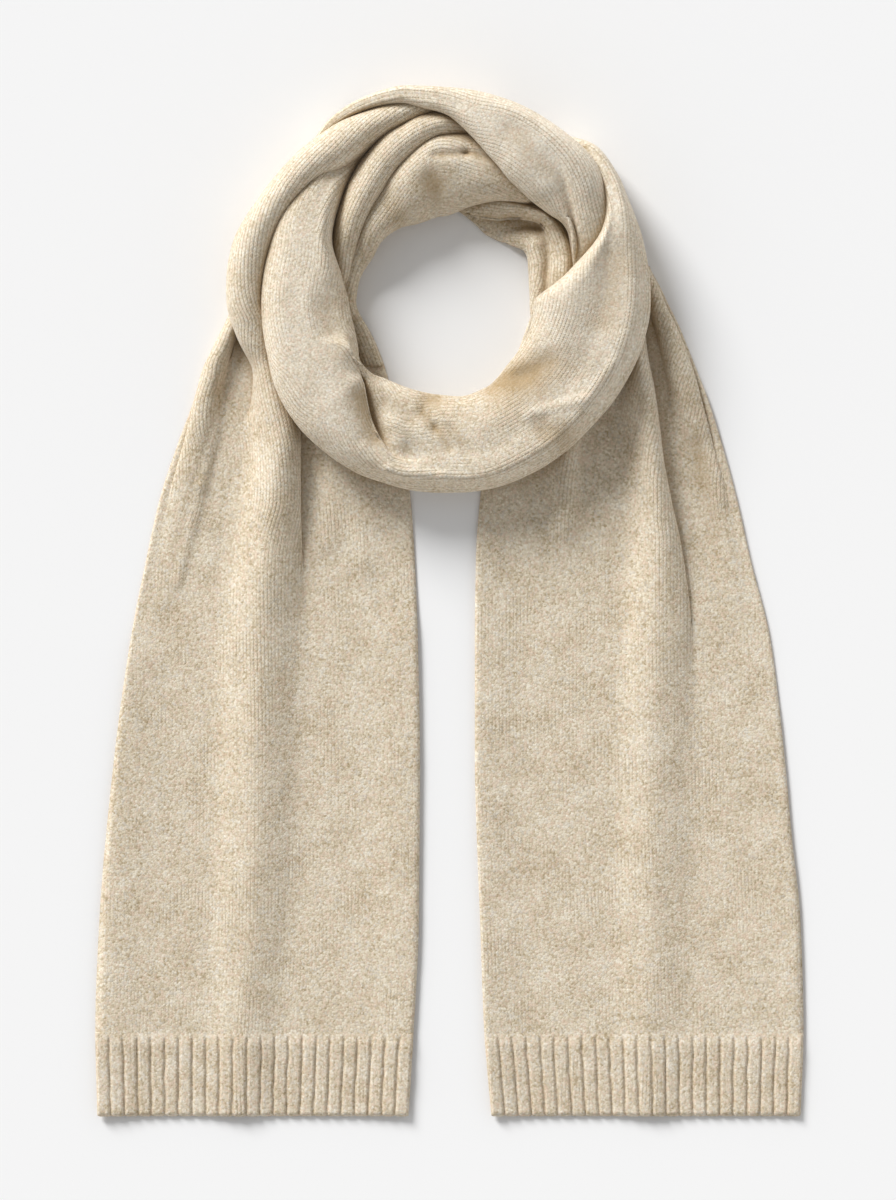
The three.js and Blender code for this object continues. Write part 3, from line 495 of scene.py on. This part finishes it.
def linear(colour: str) -> tuple[float, float, float, float]:
    """Turn an sRGB hex colour to linear RGBA, on the standard's own curve.

    Args:
        colour: six hex digits after a #.

    Returns:
        The linear colour with full alpha.
    """
    values = [int(colour[k : k + 2], 16) / 255 for k in (1, 3, 5)]
    r, g, b = (v / 12.92 if v <= 0.04045 else ((v + 0.055) / 1.055) ** 2.4 for v in values)
    return (r, g, b, 1.0)


@dataclass(frozen=True)
class NodeSheet:
    """A cleared node tree, with one way to add nodes to it."""

    owner: bpy.types.Material | bpy.types.World

    def __post_init__(self) -> None:
        """Give the owner an empty node tree."""
        self.owner.use_nodes = True
        self.owner.node_tree.nodes.clear()

    def add(self, kind: str, inputs: dict | Sequence = (), **settings: object) -> bpy.types.Node:
        """Add a node with its settings and links.

        Args:
            kind: the node's type name, without its leading ShaderNode.
            inputs: what its inputs take, in their order or by name or number. Each is a plain value,
                the socket that feeds the input or the node whose first output does.
            **settings: attributes of the node.

        Returns:
            The new node.
        """
        tree = self.owner.node_tree
        node = tree.nodes.new("ShaderNode" + kind)
        for key, value in settings.items():
            setattr(node, key, value)
        for key, value in inputs.items() if isinstance(inputs, dict) else enumerate(inputs):
            source = value.outputs[0] if isinstance(value, bpy.types.Node) else value
            if isinstance(source, bpy.types.NodeSocket):
                tree.links.new(source, node.inputs[key])
            else:
                node.inputs[key].default_value = source
        return node


@dataclass(frozen=True)
class BrushedWool:
    """Melange lambswool in stocking stitch, lightly brushed.

    Each stitch shows as a small rounded grain of its own shade, and the pile is matt with a pale
    bloom. Where the cloth bends sharply the pile parts, so the stitches line up in wales there.
    Painted shade makes the colour darker and warmer in creases, in rib furrows and in the gaps
    between stitches, and painted light makes the cloth paler the higher it lies.
    """

    name: str = "brushed_lambswool"
    dark: str = "#AE9C7D"
    beige: str = "#D7CAB1"
    cream: str = "#EFE7D6"
    rose: str = "#DDC3AE"
    grey: str = "#CFCCC6"
    # Colour of the painted shade in creases, furrows and wherever occlusion is high
    shade: str = "#A0865E"
    painted_top_light: str = "#F2EEE4"
    bloom: str = "#F6F1E8"
    wale_mm: float = 3.4  # the real wales are about 2.3 mm apart: drawn coarser, to show
    course_mm: float = 3.0
    grain_mm: float = 2.0
    bump_mm: float = 0.3
    # Painted shade in creases: how far the occlusion looks, the open share at a crease's edge and in it, and
    # how dark it is painted at most
    crease_shade_mm: float = 20.0
    crease_shade_open: tuple[float, float] = (0.88, 0.2)  # open share of the view at a crease's edge and in it
    crease_shade_most: float = 0.8
    # Painted light: the cloth is painted paler the higher it lies, between these heights
    painted_top_light_mm: tuple[float, float] = (34.0, 74.0)  # heights over which the cloth gets paler
    # Size in mm, detail and roughness of the pile, the parted patches, the clouds and the tints
    noises: tuple[tuple[float, float, float], ...] = (
        (3.0, 2.0, 0.75), (45.0, 2.0, 0.5), (34.0, 4.0, 0.65), (13.0, 3.0, 0.7),
    )
    pile_height: float = 0.9
    patch_gain: float = 2.4
    patch_level: float = -1.08
    fold_gain: float = 1.1
    grain_round: float = 1.6
    grain_height: float = 0.55
    grain_parted: float = -0.25
    leg_slant: float = 0.7
    wale_depth: float = -0.9
    loop_height: float = 0.18
    knit_level: float = 0.2
    knit_height: float = 1.3
    stitch_share: float = 0.42
    pile_share: float = 1.1
    cloud_share: float = 0.74
    shade_level: float = -0.69

    def build(self) -> bpy.types.Material:
        """Make the material.

        Returns:
            The finished material.
        """
        material = bpy.data.materials.new(self.name)
        sheet = NodeSheet(material)
        place = sheet.add("TexCoord").outputs["Object"]
        pile, patch, cloud, tint = (
            sheet.add("TexNoise", {
                "Vector": place, "Scale": 1 / (mm * MM), "Detail": detail, "Roughness": rough,
            })
            for mm, detail, rough in self.noises
        )
        knit, own = self._stitches(sheet, place, patch)
        height = sheet.add("Math", (pile, self.pile_height, knit), operation="MULTIPLY_ADD")
        bump = sheet.add("Bump", {"Strength": 1.0, "Distance": self.bump_mm * MM, "Height": height})
        high = sheet.add("SeparateXYZ", (place,)).outputs[2]
        shader = sheet.add("BsdfPrincipled", {
            "Base Color": self._melange(sheet, own, pile, cloud, tint, high, knit), "Normal": bump,
            "Roughness": 0.95, "Specular IOR Level": 0.1,
            "Sheen Weight": 0.3, "Sheen Roughness": 0.55, "Sheen Tint": linear(self.bloom),
        })
        sheet.add("OutputMaterial", {"Surface": shader})
        return material

    def _stitches(
        self, sheet: NodeSheet, place: bpy.types.NodeSocket, patch: bpy.types.Node
    ) -> tuple[bpy.types.Node, bpy.types.NodeSocket]:
        """Draw the stitches as brushed grains, and as wales of slanting legs where the pile parts.

        Args:
            sheet: where the nodes go.
            place: the point on the scarf.
            patch: slow noise that parts the pile in patches.

        Returns:
            The stitches' height, and a random colour for each grain.
        """
        fold = sheet.add("Attribute", attribute_name="fold").outputs["Fac"]
        patch = sheet.add("Math", (patch, self.patch_gain, self.patch_level), operation="MULTIPLY_ADD")
        patch = sheet.add("Math", (patch, 0.0), operation="MAXIMUM")
        parted = sheet.add("Math", (fold, self.fold_gain, patch), operation="MULTIPLY_ADD")
        parted = sheet.add("Math", (parted, 1.0), operation="MINIMUM")
        cells = sheet.add("TexVoronoi", {"Vector": place, "Scale": 1 / (self.grain_mm * MM)})
        grain = sheet.add("Math", (cells, cells), operation="MULTIPLY")
        grain = sheet.add("Math", (grain, self.grain_round), operation="MULTIPLY")
        grain = sheet.add("Math", (grain, 1.0), operation="MINIMUM")
        grain = sheet.add("Math", (1.0, grain), operation="SUBTRACT")
        raised = sheet.add("Math", (parted, self.grain_parted, self.grain_height), operation="MULTIPLY_ADD")
        grain = sheet.add("Math", (grain, raised), operation="MULTIPLY")
        cloth = sheet.add("SeparateXYZ", (sheet.add("UVMap", uv_map="cloth"),))
        leg = cloth.outputs[0]
        for operation, *amount in (
            ("MULTIPLY", 1 / (self.wale_mm * MM)), ("FRACT",),
            ("SUBTRACT", 0.5), ("ABSOLUTE",), ("MULTIPLY", 2.0),
        ):
            leg = sheet.add("Math", (leg, *amount), operation=operation)
        loop = sheet.add("Math", (cloth.outputs[1], 1 / (self.course_mm * MM)), operation="MULTIPLY")
        loop = sheet.add("Math", (leg, self.leg_slant, loop), operation="MULTIPLY_ADD")
        for operation, *amount in (("MULTIPLY", 2 * math.pi), ("SINE",), ("MULTIPLY", self.loop_height)):
            loop = sheet.add("Math", (loop, *amount), operation=operation)
        knit = sheet.add("Math", (leg, 3.0), operation="POWER")
        knit = sheet.add("Math", (knit, self.wale_depth, loop), operation="MULTIPLY_ADD")
        knit = sheet.add("Math", (knit, self.knit_level), operation="ADD")
        parted = sheet.add("Math", (parted, self.knit_height), operation="MULTIPLY")
        return sheet.add("Math", (knit, parted, grain), operation="MULTIPLY_ADD"), cells.outputs["Color"]

    def _melange(
        self,
        sheet: NodeSheet,
        own: bpy.types.NodeSocket,
        pile: bpy.types.Node,
        cloud: bpy.types.Node,
        tint: bpy.types.Node,
        high: bpy.types.NodeSocket,
        knit: bpy.types.Node,
    ) -> bpy.types.NodeSocket:
        """Give each stitch its shade, cloud the whole softly, paint light on high cloth and paint shade into
        the stitch gaps and creases.

        Args:
            sheet: where the nodes go.
            own: random colour of each stitch.
            pile: fine noise.
            cloud: slow noise of the shade.
            tint: noise that picks the stitches with a tint.
            high: height above the surface, which drives the painted light.
            knit: height of the stitches.

        Returns:
            The cloth's colour.
        """
        own = sheet.add("SeparateColor", (own,)).outputs
        level = sheet.add("Math", (pile, self.pile_share), operation="MULTIPLY")
        level = sheet.add("Math", (own[0], self.stitch_share, level), operation="MULTIPLY_ADD")
        cloud = sheet.add("Math", (cloud, self.cloud_share, self.shade_level), operation="MULTIPLY_ADD")
        ramp = sheet.add("ValToRGB", (sheet.add("Math", (level, cloud), operation="ADD"),))
        for k, (at, stop_colour) in enumerate(((0.08, self.dark), (0.46, self.beige), (0.86, self.cream))):
            stop = ramp.color_ramp.elements[k] if k < 2 else ramp.color_ramp.elements.new(at)
            stop.position, stop.color = at, linear(stop_colour)
        rosy = sheet.add("Math", (own[1], tint), operation="ADD")
        greyed = sheet.add("Math", (own[2], tint), operation="SUBTRACT")
        low, full = (v * MM for v in self.painted_top_light_mm)
        crease_shade_view = sheet.add("AmbientOcclusion", {"Distance": self.crease_shade_mm * MM}, samples=6).outputs["AO"]
        # Each layer: what it follows, where it starts and is full, and how much it covers at most
        # In turn: painted light on high cloth, rose and grey melange tints, painted shade in stitch gaps and
        # in creases
        layers = ((high, low, full, 0.34), (rosy, 1.0, 1.5, 0.55), (greyed, 0.15, 0.5, 0.4),
                  (knit, 0.3, -0.5, 0.6), (crease_shade_view, *self.crease_shade_open, self.crease_shade_most))
        shares = []
        for value, start, end, most in layers:
            limits = {"Value": value, "From Min": start, "From Max": end}
            step = sheet.add("MapRange", limits, interpolation_type="SMOOTHSTEP")
            shares.append(sheet.add("Math", (step, most), operation="MULTIPLY"))
        # Painted shade in pressed troughs and rib furrows, joined with the painted shade from occlusion
        crease = sheet.add("Attribute", attribute_name="crease").outputs["Fac"]
        shares[-1] = sheet.add("Math", (crease, shares[-1]), operation="MAXIMUM")
        colour = ramp.outputs[0]
        for share, over in zip(shares, (self.painted_top_light, self.rose, self.grey, self.dark, self.shade)):
            colour = sheet.add("Mix", {0: share, 6: colour, 7: linear(over)}, data_type="RGBA").outputs[2]
        return colour


@dataclass(frozen=True)
class StudioPaper:
    """Seamless matt paper: even and almost white."""

    name: str = "studio_paper"
    colour: str = "#F6F6F6"

    def build(self) -> bpy.types.Material:
        """Make the material.

        Returns:
            The finished material.
        """
        material = bpy.data.materials.new(self.name)
        sheet = NodeSheet(material)
        shader = sheet.add(
            "BsdfPrincipled", {"Base Color": linear(self.colour), "Roughness": 1.0, "Specular IOR Level": 0.0}
        )
        sheet.add("OutputMaterial", {"Surface": shader})
        return material


@dataclass
class ClothSheet:
    """A thin closed sheet of cloth on a grid of points, 3 mm thick with rounded edges."""

    name: str
    middle: np.ndarray
    facing: int
    marks: tuple[SoftMark, ...] = NO_MARKS
    relief: np.ndarray | None = None
    furrows: np.ndarray | None = None
    anchor: int = 0
    joined_first: bool = False
    joined_last: bool = False
    edge_round: float = 2.5
    edge_least: float = 0.02
    up_from: float = -0.1  # the marks press what faces up: from this height of the unit normal on
    up_over: float = 0.7
    unevenness: float = 0.5
    clear_height: float = 6.0
    calm_share: float = 0.35  # of the unevenness, for cloth that lies on the surface
    calm_least: float = 0.2
    parted_at: float = 14.0  # radius in mm of a bend that parts the pile all the way
    # Painted shade: how dark the colour is painted in pressed troughs and in rib furrows
    crease_shade_per_mm: float = 0.16
    crease_shade_most: float = 0.8
    furrow_shade: float = 0.3
    evened: int = 3
    # The cloth's unevenness: the strength of each noise and its size in mm in X, Y and Z
    wander: tuple[tuple[float, ...], ...] = ((1, 26, 34, 26), (0.4, 11, 13, 11), (1.6, 61, 75, 61))

    def build(self, material: bpy.types.Material) -> tuple[bpy.types.Object, tuple[float, float]]:
        """Make the sheet.

        Args:
            material: the finish it takes.

        Returns:
            The object, and the width and length that the cloth is cut to, in metres.
        """
        grid, mark = self._pressed(self.middle, grid_normals(self.middle) * self.facing)
        normal = grid_normals(grid) * self.facing
        widths = np.linalg.norm(np.diff(grid, axis=1), axis=2)
        lengths = np.linalg.norm(np.diff(grid, axis=0), axis=2)
        u = np.concatenate([[0], np.cumsum(widths.mean(axis=0))])
        v = np.concatenate([[0], np.cumsum(lengths.mean(axis=1))])
        profile = self._edge_profile(u, v)
        half = HALF_WALL * profile
        raised = 0.0 if self.relief is None else self.relief * profile
        upper = grid + normal * (half + raised)[..., None]
        lower = grid - normal * half[..., None]
        lower[..., 2] = np.maximum(lower[..., 2], 0)
        upper[..., 2] = np.maximum(upper[..., 2], LEAST_TOP)
        arc = np.concatenate([np.zeros((grid.shape[0], 1)), np.cumsum(widths, axis=1)], axis=1)
        arc = arc - arc[:, self.anchor][:, None]
        obj = self._mesh(upper, lower, arc * MM, np.broadcast_to(v[:, None] * MM, arc.shape))
        self._mark_folds(obj, grid, normal, mark)
        obj.data.materials.append(material)
        return obj, (float(u[-1]) * MM, float(v[-1]) * MM)

    def _pressed(self, grid: np.ndarray, normal: np.ndarray) -> tuple[np.ndarray, np.ndarray]:
        """Press the soft marks into what faces up, and make the cloth slightly uneven all over.

        Args:
            grid: middle of the cloth.
            normal: unit normals of that grid.

        Returns:
            The pressed grid, and how far the marks lift each point.
        """
        up = np.clip((normal[..., 2] - self.up_from) / self.up_over, 0, 1)
        up = up * up * (3 - 2 * up)
        mark = sum((m.lift(grid[..., 0], grid[..., 1]) for m in self.marks), np.zeros(grid.shape[:2])) * up
        wander = np.array([
            sum(share * noise.noise(Vector((x / a, y / b, z / c))) for share, a, b, c in self.wander)
            for x, y, z in grid.reshape(-1, 3)
        ]).reshape(grid.shape[:2])
        clearance = np.clip((grid[..., 2] - HALF_WALL) / self.clear_height, 0, 1)
        mark = mark * np.where(mark < 0, clearance, 1)
        free = self.calm_share + (1 - self.calm_share) * np.maximum(clearance, self.calm_least)
        out = grid + normal * (wander * self.unevenness * free)[..., None]
        out[..., 2] += mark
        out[..., 2] = np.maximum(out[..., 2], np.minimum(grid[..., 2], HALF_WALL))
        return out, mark

    def _edge_profile(self, u: np.ndarray, v: np.ndarray) -> np.ndarray:
        """Round the cloth off towards its free edges.

        Args:
            u: place of each column across the cloth.
            v: place of each row along it.

        Returns:
            Each point's share of the full thickness.
        """
        def rounding(place: np.ndarray, first: bool, last: bool) -> np.ndarray:
            """Round one direction off at those of its ends that are free."""
            before = place - place[0] + (self.edge_round if first else 0)
            after = place[-1] - place + (self.edge_round if last else 0)
            t = np.clip(np.minimum(before, after) / self.edge_round, 0, 1)
            return np.sqrt(np.maximum(1 - (1 - t) ** 2, self.edge_least))

        return rounding(v, self.joined_first, self.joined_last)[:, None] * rounding(u, False, False)[None, :]

    def _mark_folds(
        self, obj: bpy.types.Object, grid: np.ndarray, normal: np.ndarray, mark: np.ndarray
    ) -> None:
        """Write where the cloth bends outwards and parts its pile, and where painted shade darkens its
        creases and furrows.

        Args:
            obj: the sheet's object.
            grid: middle of the cloth.
            normal: its unit normals.
            mark: lift of the soft marks.
        """
        chord = grid[:, 2:] - grid[:, :-2]
        sag = grid[:, 1:-1] - (grid[:, 2:] + grid[:, :-2]) / 2
        bend = np.zeros(grid.shape[:2])  # one over the radius: eight sags over the squared chord
        squared = np.maximum((chord**2).sum(axis=2), LEAST_SPAN**2)
        bend[:, 1:-1] = 8 * (sag * normal[:, 1:-1]).sum(axis=2) / squared
        fold = soften(np.clip(soften(bend, self.evened) * self.parted_at, 0, 1), self.evened)
        # Painted shade: troughs pressed by the soft marks and the rib furrows darken the colour
        crease = np.clip(-mark * self.crease_shade_per_mm, 0, self.crease_shade_most)
        if self.furrows is not None:
            crease = np.maximum(crease, self.furrows * self.furrow_shade)
        for label, value in (("fold", fold), ("crease", crease)):
            layer = obj.data.attributes.new(label, "FLOAT", "POINT")
            layer.data.foreach_set("value", np.tile(value.reshape(-1), 2).astype(np.float32))

    def _mesh(self, upper: np.ndarray, lower: np.ndarray, u: np.ndarray, v: np.ndarray) -> bpy.types.Object:
        """Join both faces and the rim into one closed mesh, with its cloth map.

        Args:
            upper: points of the outer face, in millimetres.
            lower: points of the inner face, in millimetres.
            u: place across the cloth for each point, in metres.
            v: place along it, in metres.

        Returns:
            The object, linked to the scene.
        """
        rows, columns = upper.shape[:2]
        size = rows * columns
        index = np.arange(size).reshape(rows, columns)
        a, b, c, d = index[:-1, :-1], index[1:, :-1], index[1:, 1:], index[:-1, 1:]
        top = np.stack([a, b, c, d], axis=2).reshape(-1, 4)
        bottom = np.stack([a, d, c, b], axis=2).reshape(-1, 4) + size
        loop = np.concatenate([index[0, :], index[1:, -1], index[-1, -2::-1], index[-2:0:-1, 0]])
        after = np.roll(loop, -1)
        rim = np.stack([loop, after, after + size, loop + size], axis=1)
        faces = np.concatenate([top, bottom, rim])
        if self.facing < 0:
            faces = faces[:, ::-1]
        points = np.concatenate([upper.reshape(-1, 3), lower.reshape(-1, 3)]) * MM
        mesh = bpy.data.meshes.new(self.name)
        mesh.from_pydata(points.tolist(), [], faces.tolist())
        uv = np.stack([u, v], axis=2).reshape(-1, 2)
        layer = mesh.uv_layers.new(name="cloth")
        layer.data.foreach_set("uv", uv[faces.reshape(-1) % size].reshape(-1))
        mesh.polygons.foreach_set("use_smooth", np.ones(len(faces), bool))
        mesh.update()
        obj = bpy.data.objects.new(self.name, mesh)
        bpy.context.scene.collection.objects.link(obj)
        return obj


def dress(
    obj: bpy.types.Object,
    nodes: Sequence[str],
    flat: tuple[float, float],
) -> None:
    """Ride a sheet on the part, hide the solids that it stands for and log its faces and flat size.

    Args:
        obj: the sheet.
        nodes: solids that it stands for.
        flat: width and length it's cut to, in metres.
    """
    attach(obj, ROOT)
    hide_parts(*nodes)
    LOG.info("%s: %d faces, %.0f by %.0f mm", obj.name, len(obj.data.polygons), flat[0] / MM, flat[1] / MM)


@dataclass
class ScarfEnd:
    """One end of the scarf with its fold, and on the left the roll that it becomes up the ring's side."""

    side: Side
    edges: SectionTable
    flap: SectionTable
    ridge: SectionTable
    wave: SectionTable
    marks: tuple[SoftMark, ...]
    row_step: float = 3.2
    point_step: float = 2.6
    least_gap: float = 0.6  # a fold's outer foot stays this far inside what comes before it
    evened: int = 2

    def section(self, run: np.ndarray) -> np.ndarray:
        """Lay out the middle line of the cloth.

        Args:
            run: millimetres along the scarf from the ring's side.

        Returns:
            For each run its points as (distance, height), from the outer edge to the inner one.
        """
        edges = self.edges.at(run)
        level = np.full_like(run, HALF_WALL)
        points = [np.stack([edges["outer"], level], axis=1)]
        for table in (self.flap, self.ridge, self.wave):
            points += roll_points(table.at(run))
        points.append(np.stack([edges["inner"], level], axis=1))
        for k in range(1, len(points), ROLL_POINTS):
            points[k][:, 0] = np.minimum(points[k][:, 0], points[k - 1][:, 0] - self.least_gap)
        section = smooth_sections(points, closed=False, step=self.point_step)
        section[..., 1] = np.maximum(section[..., 1], HALF_WALL)
        return section

    def build(self, name: str, nodes: Sequence[str], material: bpy.types.Material) -> None:
        """Make the sheet for this end.

        Args:
            name: the sheet's name.
            nodes: solids that it stands for.
            material: the finish it takes.
        """
        run = np.arange(HEM_JOINT, self.edges.span[1] + self.row_step, self.row_step)
        grid = soften(place_by_run(self.side, run, self.section(run)), self.evened)
        grid = np.insert(grid, 1, grid[0] + (grid[1] - grid[0]) * JOINT / self.row_step, axis=0)
        sheet = ClothSheet(name, grid, self.side.value, self.marks, anchor=-1, joined_first=True)
        obj, flat = sheet.build(material)
        dress(obj, nodes, flat)


@dataclass
class RibbedHem:
    """A ribbed band knitted on to the end's cloth: rounded ribs with narrow furrows between them."""

    end: ScarfEnd
    ribs: int = 23
    points_per_rib: int = 14
    row_step: float = 2.4
    thickness: float = 4.6
    furrow: float = 2.3
    shoulder: float = 0.5
    start: float = 5.0  # length over which the furrows deepen
    start_gap: float = 2.0
    start_waver: float = 2.5
    ramp: float = 10.0  # length over which the band thickens
    waver: float = 0.10  # how far a rib strays, in ribs
    notch: float = 0.9  # how far the furrows cut into the free edge
    seed_step: float = 5.0  # this and the next four are steps and places in the noise
    rib_step: float = 1.7
    row_share: float = 7.0
    top_step: float = 2.3
    top_seed: float = 9.0

    def build(self, name: str, nodes: Sequence[str], material: bpy.types.Material) -> None:
        """Make the band.

        Args:
            name: the sheet's name.
            nodes: solids that it stands for.
            material: the finish it takes.
        """
        run = np.linspace(HEM_EDGE, HEM_JOINT, round((HEM_JOINT - HEM_EDGE) / self.row_step) + 1)
        run = np.insert(run, -1, HEM_JOINT - JOINT)
        share = np.linspace(0, 1, self.ribs * self.points_per_rib + 1)
        line = np.stack([self._resampled(row, share) for row in self.end.section(run)])
        seed = self.end.side.value * self.seed_step
        knots = np.arange(self.ribs + 1)
        place = share * self.ribs
        drift = np.stack([
            np.interp(place, knots, [
                noise.noise(Vector((k * self.rib_step, r / self.row_share, seed))) for k in knots
            ])
            for r in range(len(run))
        ])
        phase = np.abs((place[None, :] + self.waver * drift + 0.5) % 1.0 - 0.5) * 2
        hollow = (1 - np.clip(phase / self.shoulder, 0, 1)) ** 2
        tops = np.interp(place, knots + 0.5, [
            noise.noise(Vector((k * self.top_step, self.top_seed, seed))) for k in knots
        ])
        start = HEM_JOINT - self.start_gap + tops[None, :] * self.start_waver
        depth = hollow * np.clip((start - run[:, None]) / self.start, 0, 1)
        rise = np.clip((HEM_JOINT - run[:, None]) / self.ramp, 0, 1)
        grid = place_by_run(self.end.side, run, line)
        grid[0, :, 1] += self.notch * hollow[0]
        sheet = ClothSheet(
            name, grid, self.end.side.value, self.end.marks,
            relief=(self.thickness - WALL) * rise - self.furrow * depth, furrows=depth, joined_last=True,
        )
        obj, flat = sheet.build(material)
        dress(obj, nodes, flat)

    @staticmethod
    def _resampled(row: np.ndarray, share: np.ndarray) -> np.ndarray:
        """Spread samples evenly along one section.

        Args:
            row: the section's points.
            share: shares of its length.

        Returns:
            The points at those shares.
        """
        length = np.concatenate([[0], np.cumsum(np.linalg.norm(np.diff(row, axis=0), axis=1))])
        return np.stack([np.interp(share * length[-1], length, row[:, k]) for k in (0, 1)], axis=1)


@dataclass
class RingStretch:
    """A stretch of the scarf that lies folded round the ring."""

    name: str
    table: SectionTable
    marks: tuple[SoftMark, ...] = NO_MARKS
    evened: int = 2

    def middle(self) -> np.ndarray:
        """Return the middle of the cloth as a grid."""
        raise NotImplementedError

    def build(self, nodes: Sequence[str], material: bpy.types.Material, rests_on: Sequence[str]) -> None:
        """Make the sheet, with its wales counted from its highest line.

        Args:
            nodes: solids that it stands for.
            material: the finish it takes.
            rests_on: names of what it lies on; not used.
        """
        grid = self.middle()
        highest = int(grid[..., 2].mean(axis=0).argmax())
        sheet = ClothSheet(self.name, grid, -1, self.marks, anchor=highest)
        obj, flat = sheet.build(material)
        dress(obj, nodes, flat)


@dataclass
class RolledStretch(RingStretch):
    """A stretch of the left end that lies rolled round the ring, resting on the surface."""

    row_step: float = 2.4
    point_step: float = 1.8
    overlap: float = 1.0

    def middle(self) -> np.ndarray:
        """Lay out the roll, with its edges tucked under its crest.

        Returns:
            Stations by points by (x, y, z), in millimetres.
        """
        first, last = self.table.span
        run = np.arange(first, last + self.row_step, self.row_step)
        roll = self.table.at(run)
        foot, heel = (
            np.stack([roll["crest"] + aside, np.full_like(run, HALF_WALL)], axis=1)
            for aside in (self.overlap, -self.overlap)
        )
        section = smooth_sections([foot, *roll_points(roll), heel], closed=False, step=self.point_step)
        section[..., 1] = np.maximum(section[..., 1], HALF_WALL)
        return soften(place_by_run(Side.LEFT, run, section), self.evened)


@dataclass
class WoundStretch(RingStretch):
    """A stretch of the scarf that lies rolled over others round the ring."""

    degree_step: float = 0.9
    point_step: float = 2.0
    seam: tuple[float, float] = (1.4, 0.4)  # how far outwards its two edges lie, so that they don't touch

    def middle(self) -> np.ndarray:
        """Lay out the closed roll, with its edges side by side underneath.

        Returns:
            Stations by points by (x, y, z), in millimetres.
        """
        first, last = self.table.span
        degrees = np.linspace(first, last, round(abs(first - last) / self.degree_step) + 1)
        row = self.table.at(degrees)
        section = smooth_sections(band_points(row), closed=True, step=self.point_step)
        section = np.concatenate([section, section[:, :1]], axis=1)
        section[:, [0, -1], 0] += self.seam
        section[..., 1] = np.maximum(section[..., 1], row["under"][:, None])
        grid = soften(place_by_angle(degrees, section), self.evened)
        return grid + grid_normals(grid) * HALF_WALL


@dataclass
class Studio:
    """A pale floor, one broad low light from the upper left, even light all round and a camera above."""

    floor_size: float = 14.0
    centre: tuple[float, float] = (-0.0014, 0.0025)
    height: float = 6.0
    view_height: float = 1.158
    sensor: float = 36.0
    clip_end: float = 40.0
    key_from: tuple[float, float, float] = (-0.53, 0.73, 0.42)
    key_spread: float = 22.0
    key_strength: float = 3.85
    sky_strength: float = 0.62
    low_sky: float = 2.1  # the sky near the horizon, against high_sky overhead
    high_sky: float = 0.1

    def build(self) -> None:
        """Set up the floor, the lights and the camera."""
        bpy.ops.object.select_all(action="DESELECT")
        bpy.ops.mesh.primitive_plane_add(size=self.floor_size, location=(0, 0, 0))
        floor = bpy.context.object
        floor.name = "floor"
        floor.data.materials.append(StudioPaper().build())
        self._light()
        self._camera()

    def _light(self) -> None:
        """Set up a broad sun as the key light, and a sky that is brightest low down."""
        key = bpy.data.lights.new("key", "SUN")
        key.angle, key.energy = math.radians(self.key_spread), self.key_strength
        light = bpy.data.objects.new("key", key)
        light.rotation_euler = (-Vector(self.key_from)).to_track_quat("-Z", "Y").to_euler()
        bpy.context.scene.collection.objects.link(light)
        world = bpy.context.scene.world or bpy.data.worlds.new("studio")
        bpy.context.scene.world = world
        sheet = NodeSheet(world)
        up = sheet.add("SeparateXYZ", (sheet.add("TexCoord").outputs["Generated"],)).outputs[2]
        fade = sheet.add("MapRange", {"Value": up, "To Min": self.low_sky, "To Max": self.high_sky})
        sky = sheet.add("Background", {"Color": fade, "Strength": self.sky_strength})
        sheet.add("OutputWorld", {"Surface": sky})
        bpy.context.scene.view_settings.view_transform = "Standard"

    def _camera(self) -> None:
        """Hang the camera straight above, with view_height metres of floor in the frame's height."""
        camera = bpy.data.cameras.new("camera")
        camera.sensor_width = self.sensor
        camera.lens = self.sensor * self.height / self.view_height
        camera.clip_end = self.clip_end
        eye = bpy.data.objects.new("camera", camera)
        eye.location = (*self.centre, self.height)
        bpy.context.scene.collection.objects.link(eye)
        bpy.context.scene.camera = eye


def main() -> None:
    """Build the scarf piece by piece, in the studio."""
    logging.basicConfig(level=logging.INFO, format="%(message)s")
    wool = BrushedWool().build()
    rib_wool = BrushedWool(name="rib_knit_lambswool", beige="#D3C6AE", cream="#ECE4D5").build()
    Studio().build()
    left = ScarfEnd(Side.LEFT, LEFT_EDGES, LEFT_FLAP, LEFT_RIDGE, LEFT_WAVE, LEFT_MARKS)
    right = ScarfEnd(Side.RIGHT, RIGHT_EDGES, RIGHT_FLAP, RIGHT_RIDGE, RIGHT_WAVE, RIGHT_MARKS)
    left.build("left_end", ["end_left", "wrap_left"], wool)
    right.build("right_end", ["end_right"], wool)
    RibbedHem(left).build("left_hem", ["hem_left"], rib_wool)
    RibbedHem(right).build("right_hem", ["hem_right"], rib_wool)
    RolledStretch("inner_fold", INNER_FOLD).build(["fold_left"], wool, ["floor"])
    RolledStretch("neck_band", NECK_BAND, BACK_MARKS).build(["neck_back"], wool, ["floor"])
    WoundStretch("lower_folds", NECK_UNDER, HOLLOW_MARKS).build(["neck_under"], wool, ["floor"])
    WoundStretch("over_wrap", WRAP_OVER, OVER_MARKS).build(["wrap_over"], wool, ["left_end", "lower_folds"])
    WoundStretch("loop", FRONT_LOOP, LOOP_MARKS).build(["front_loop"], wool, ["left_end", "right_end"])


if __name__ == "__main__":
    main()
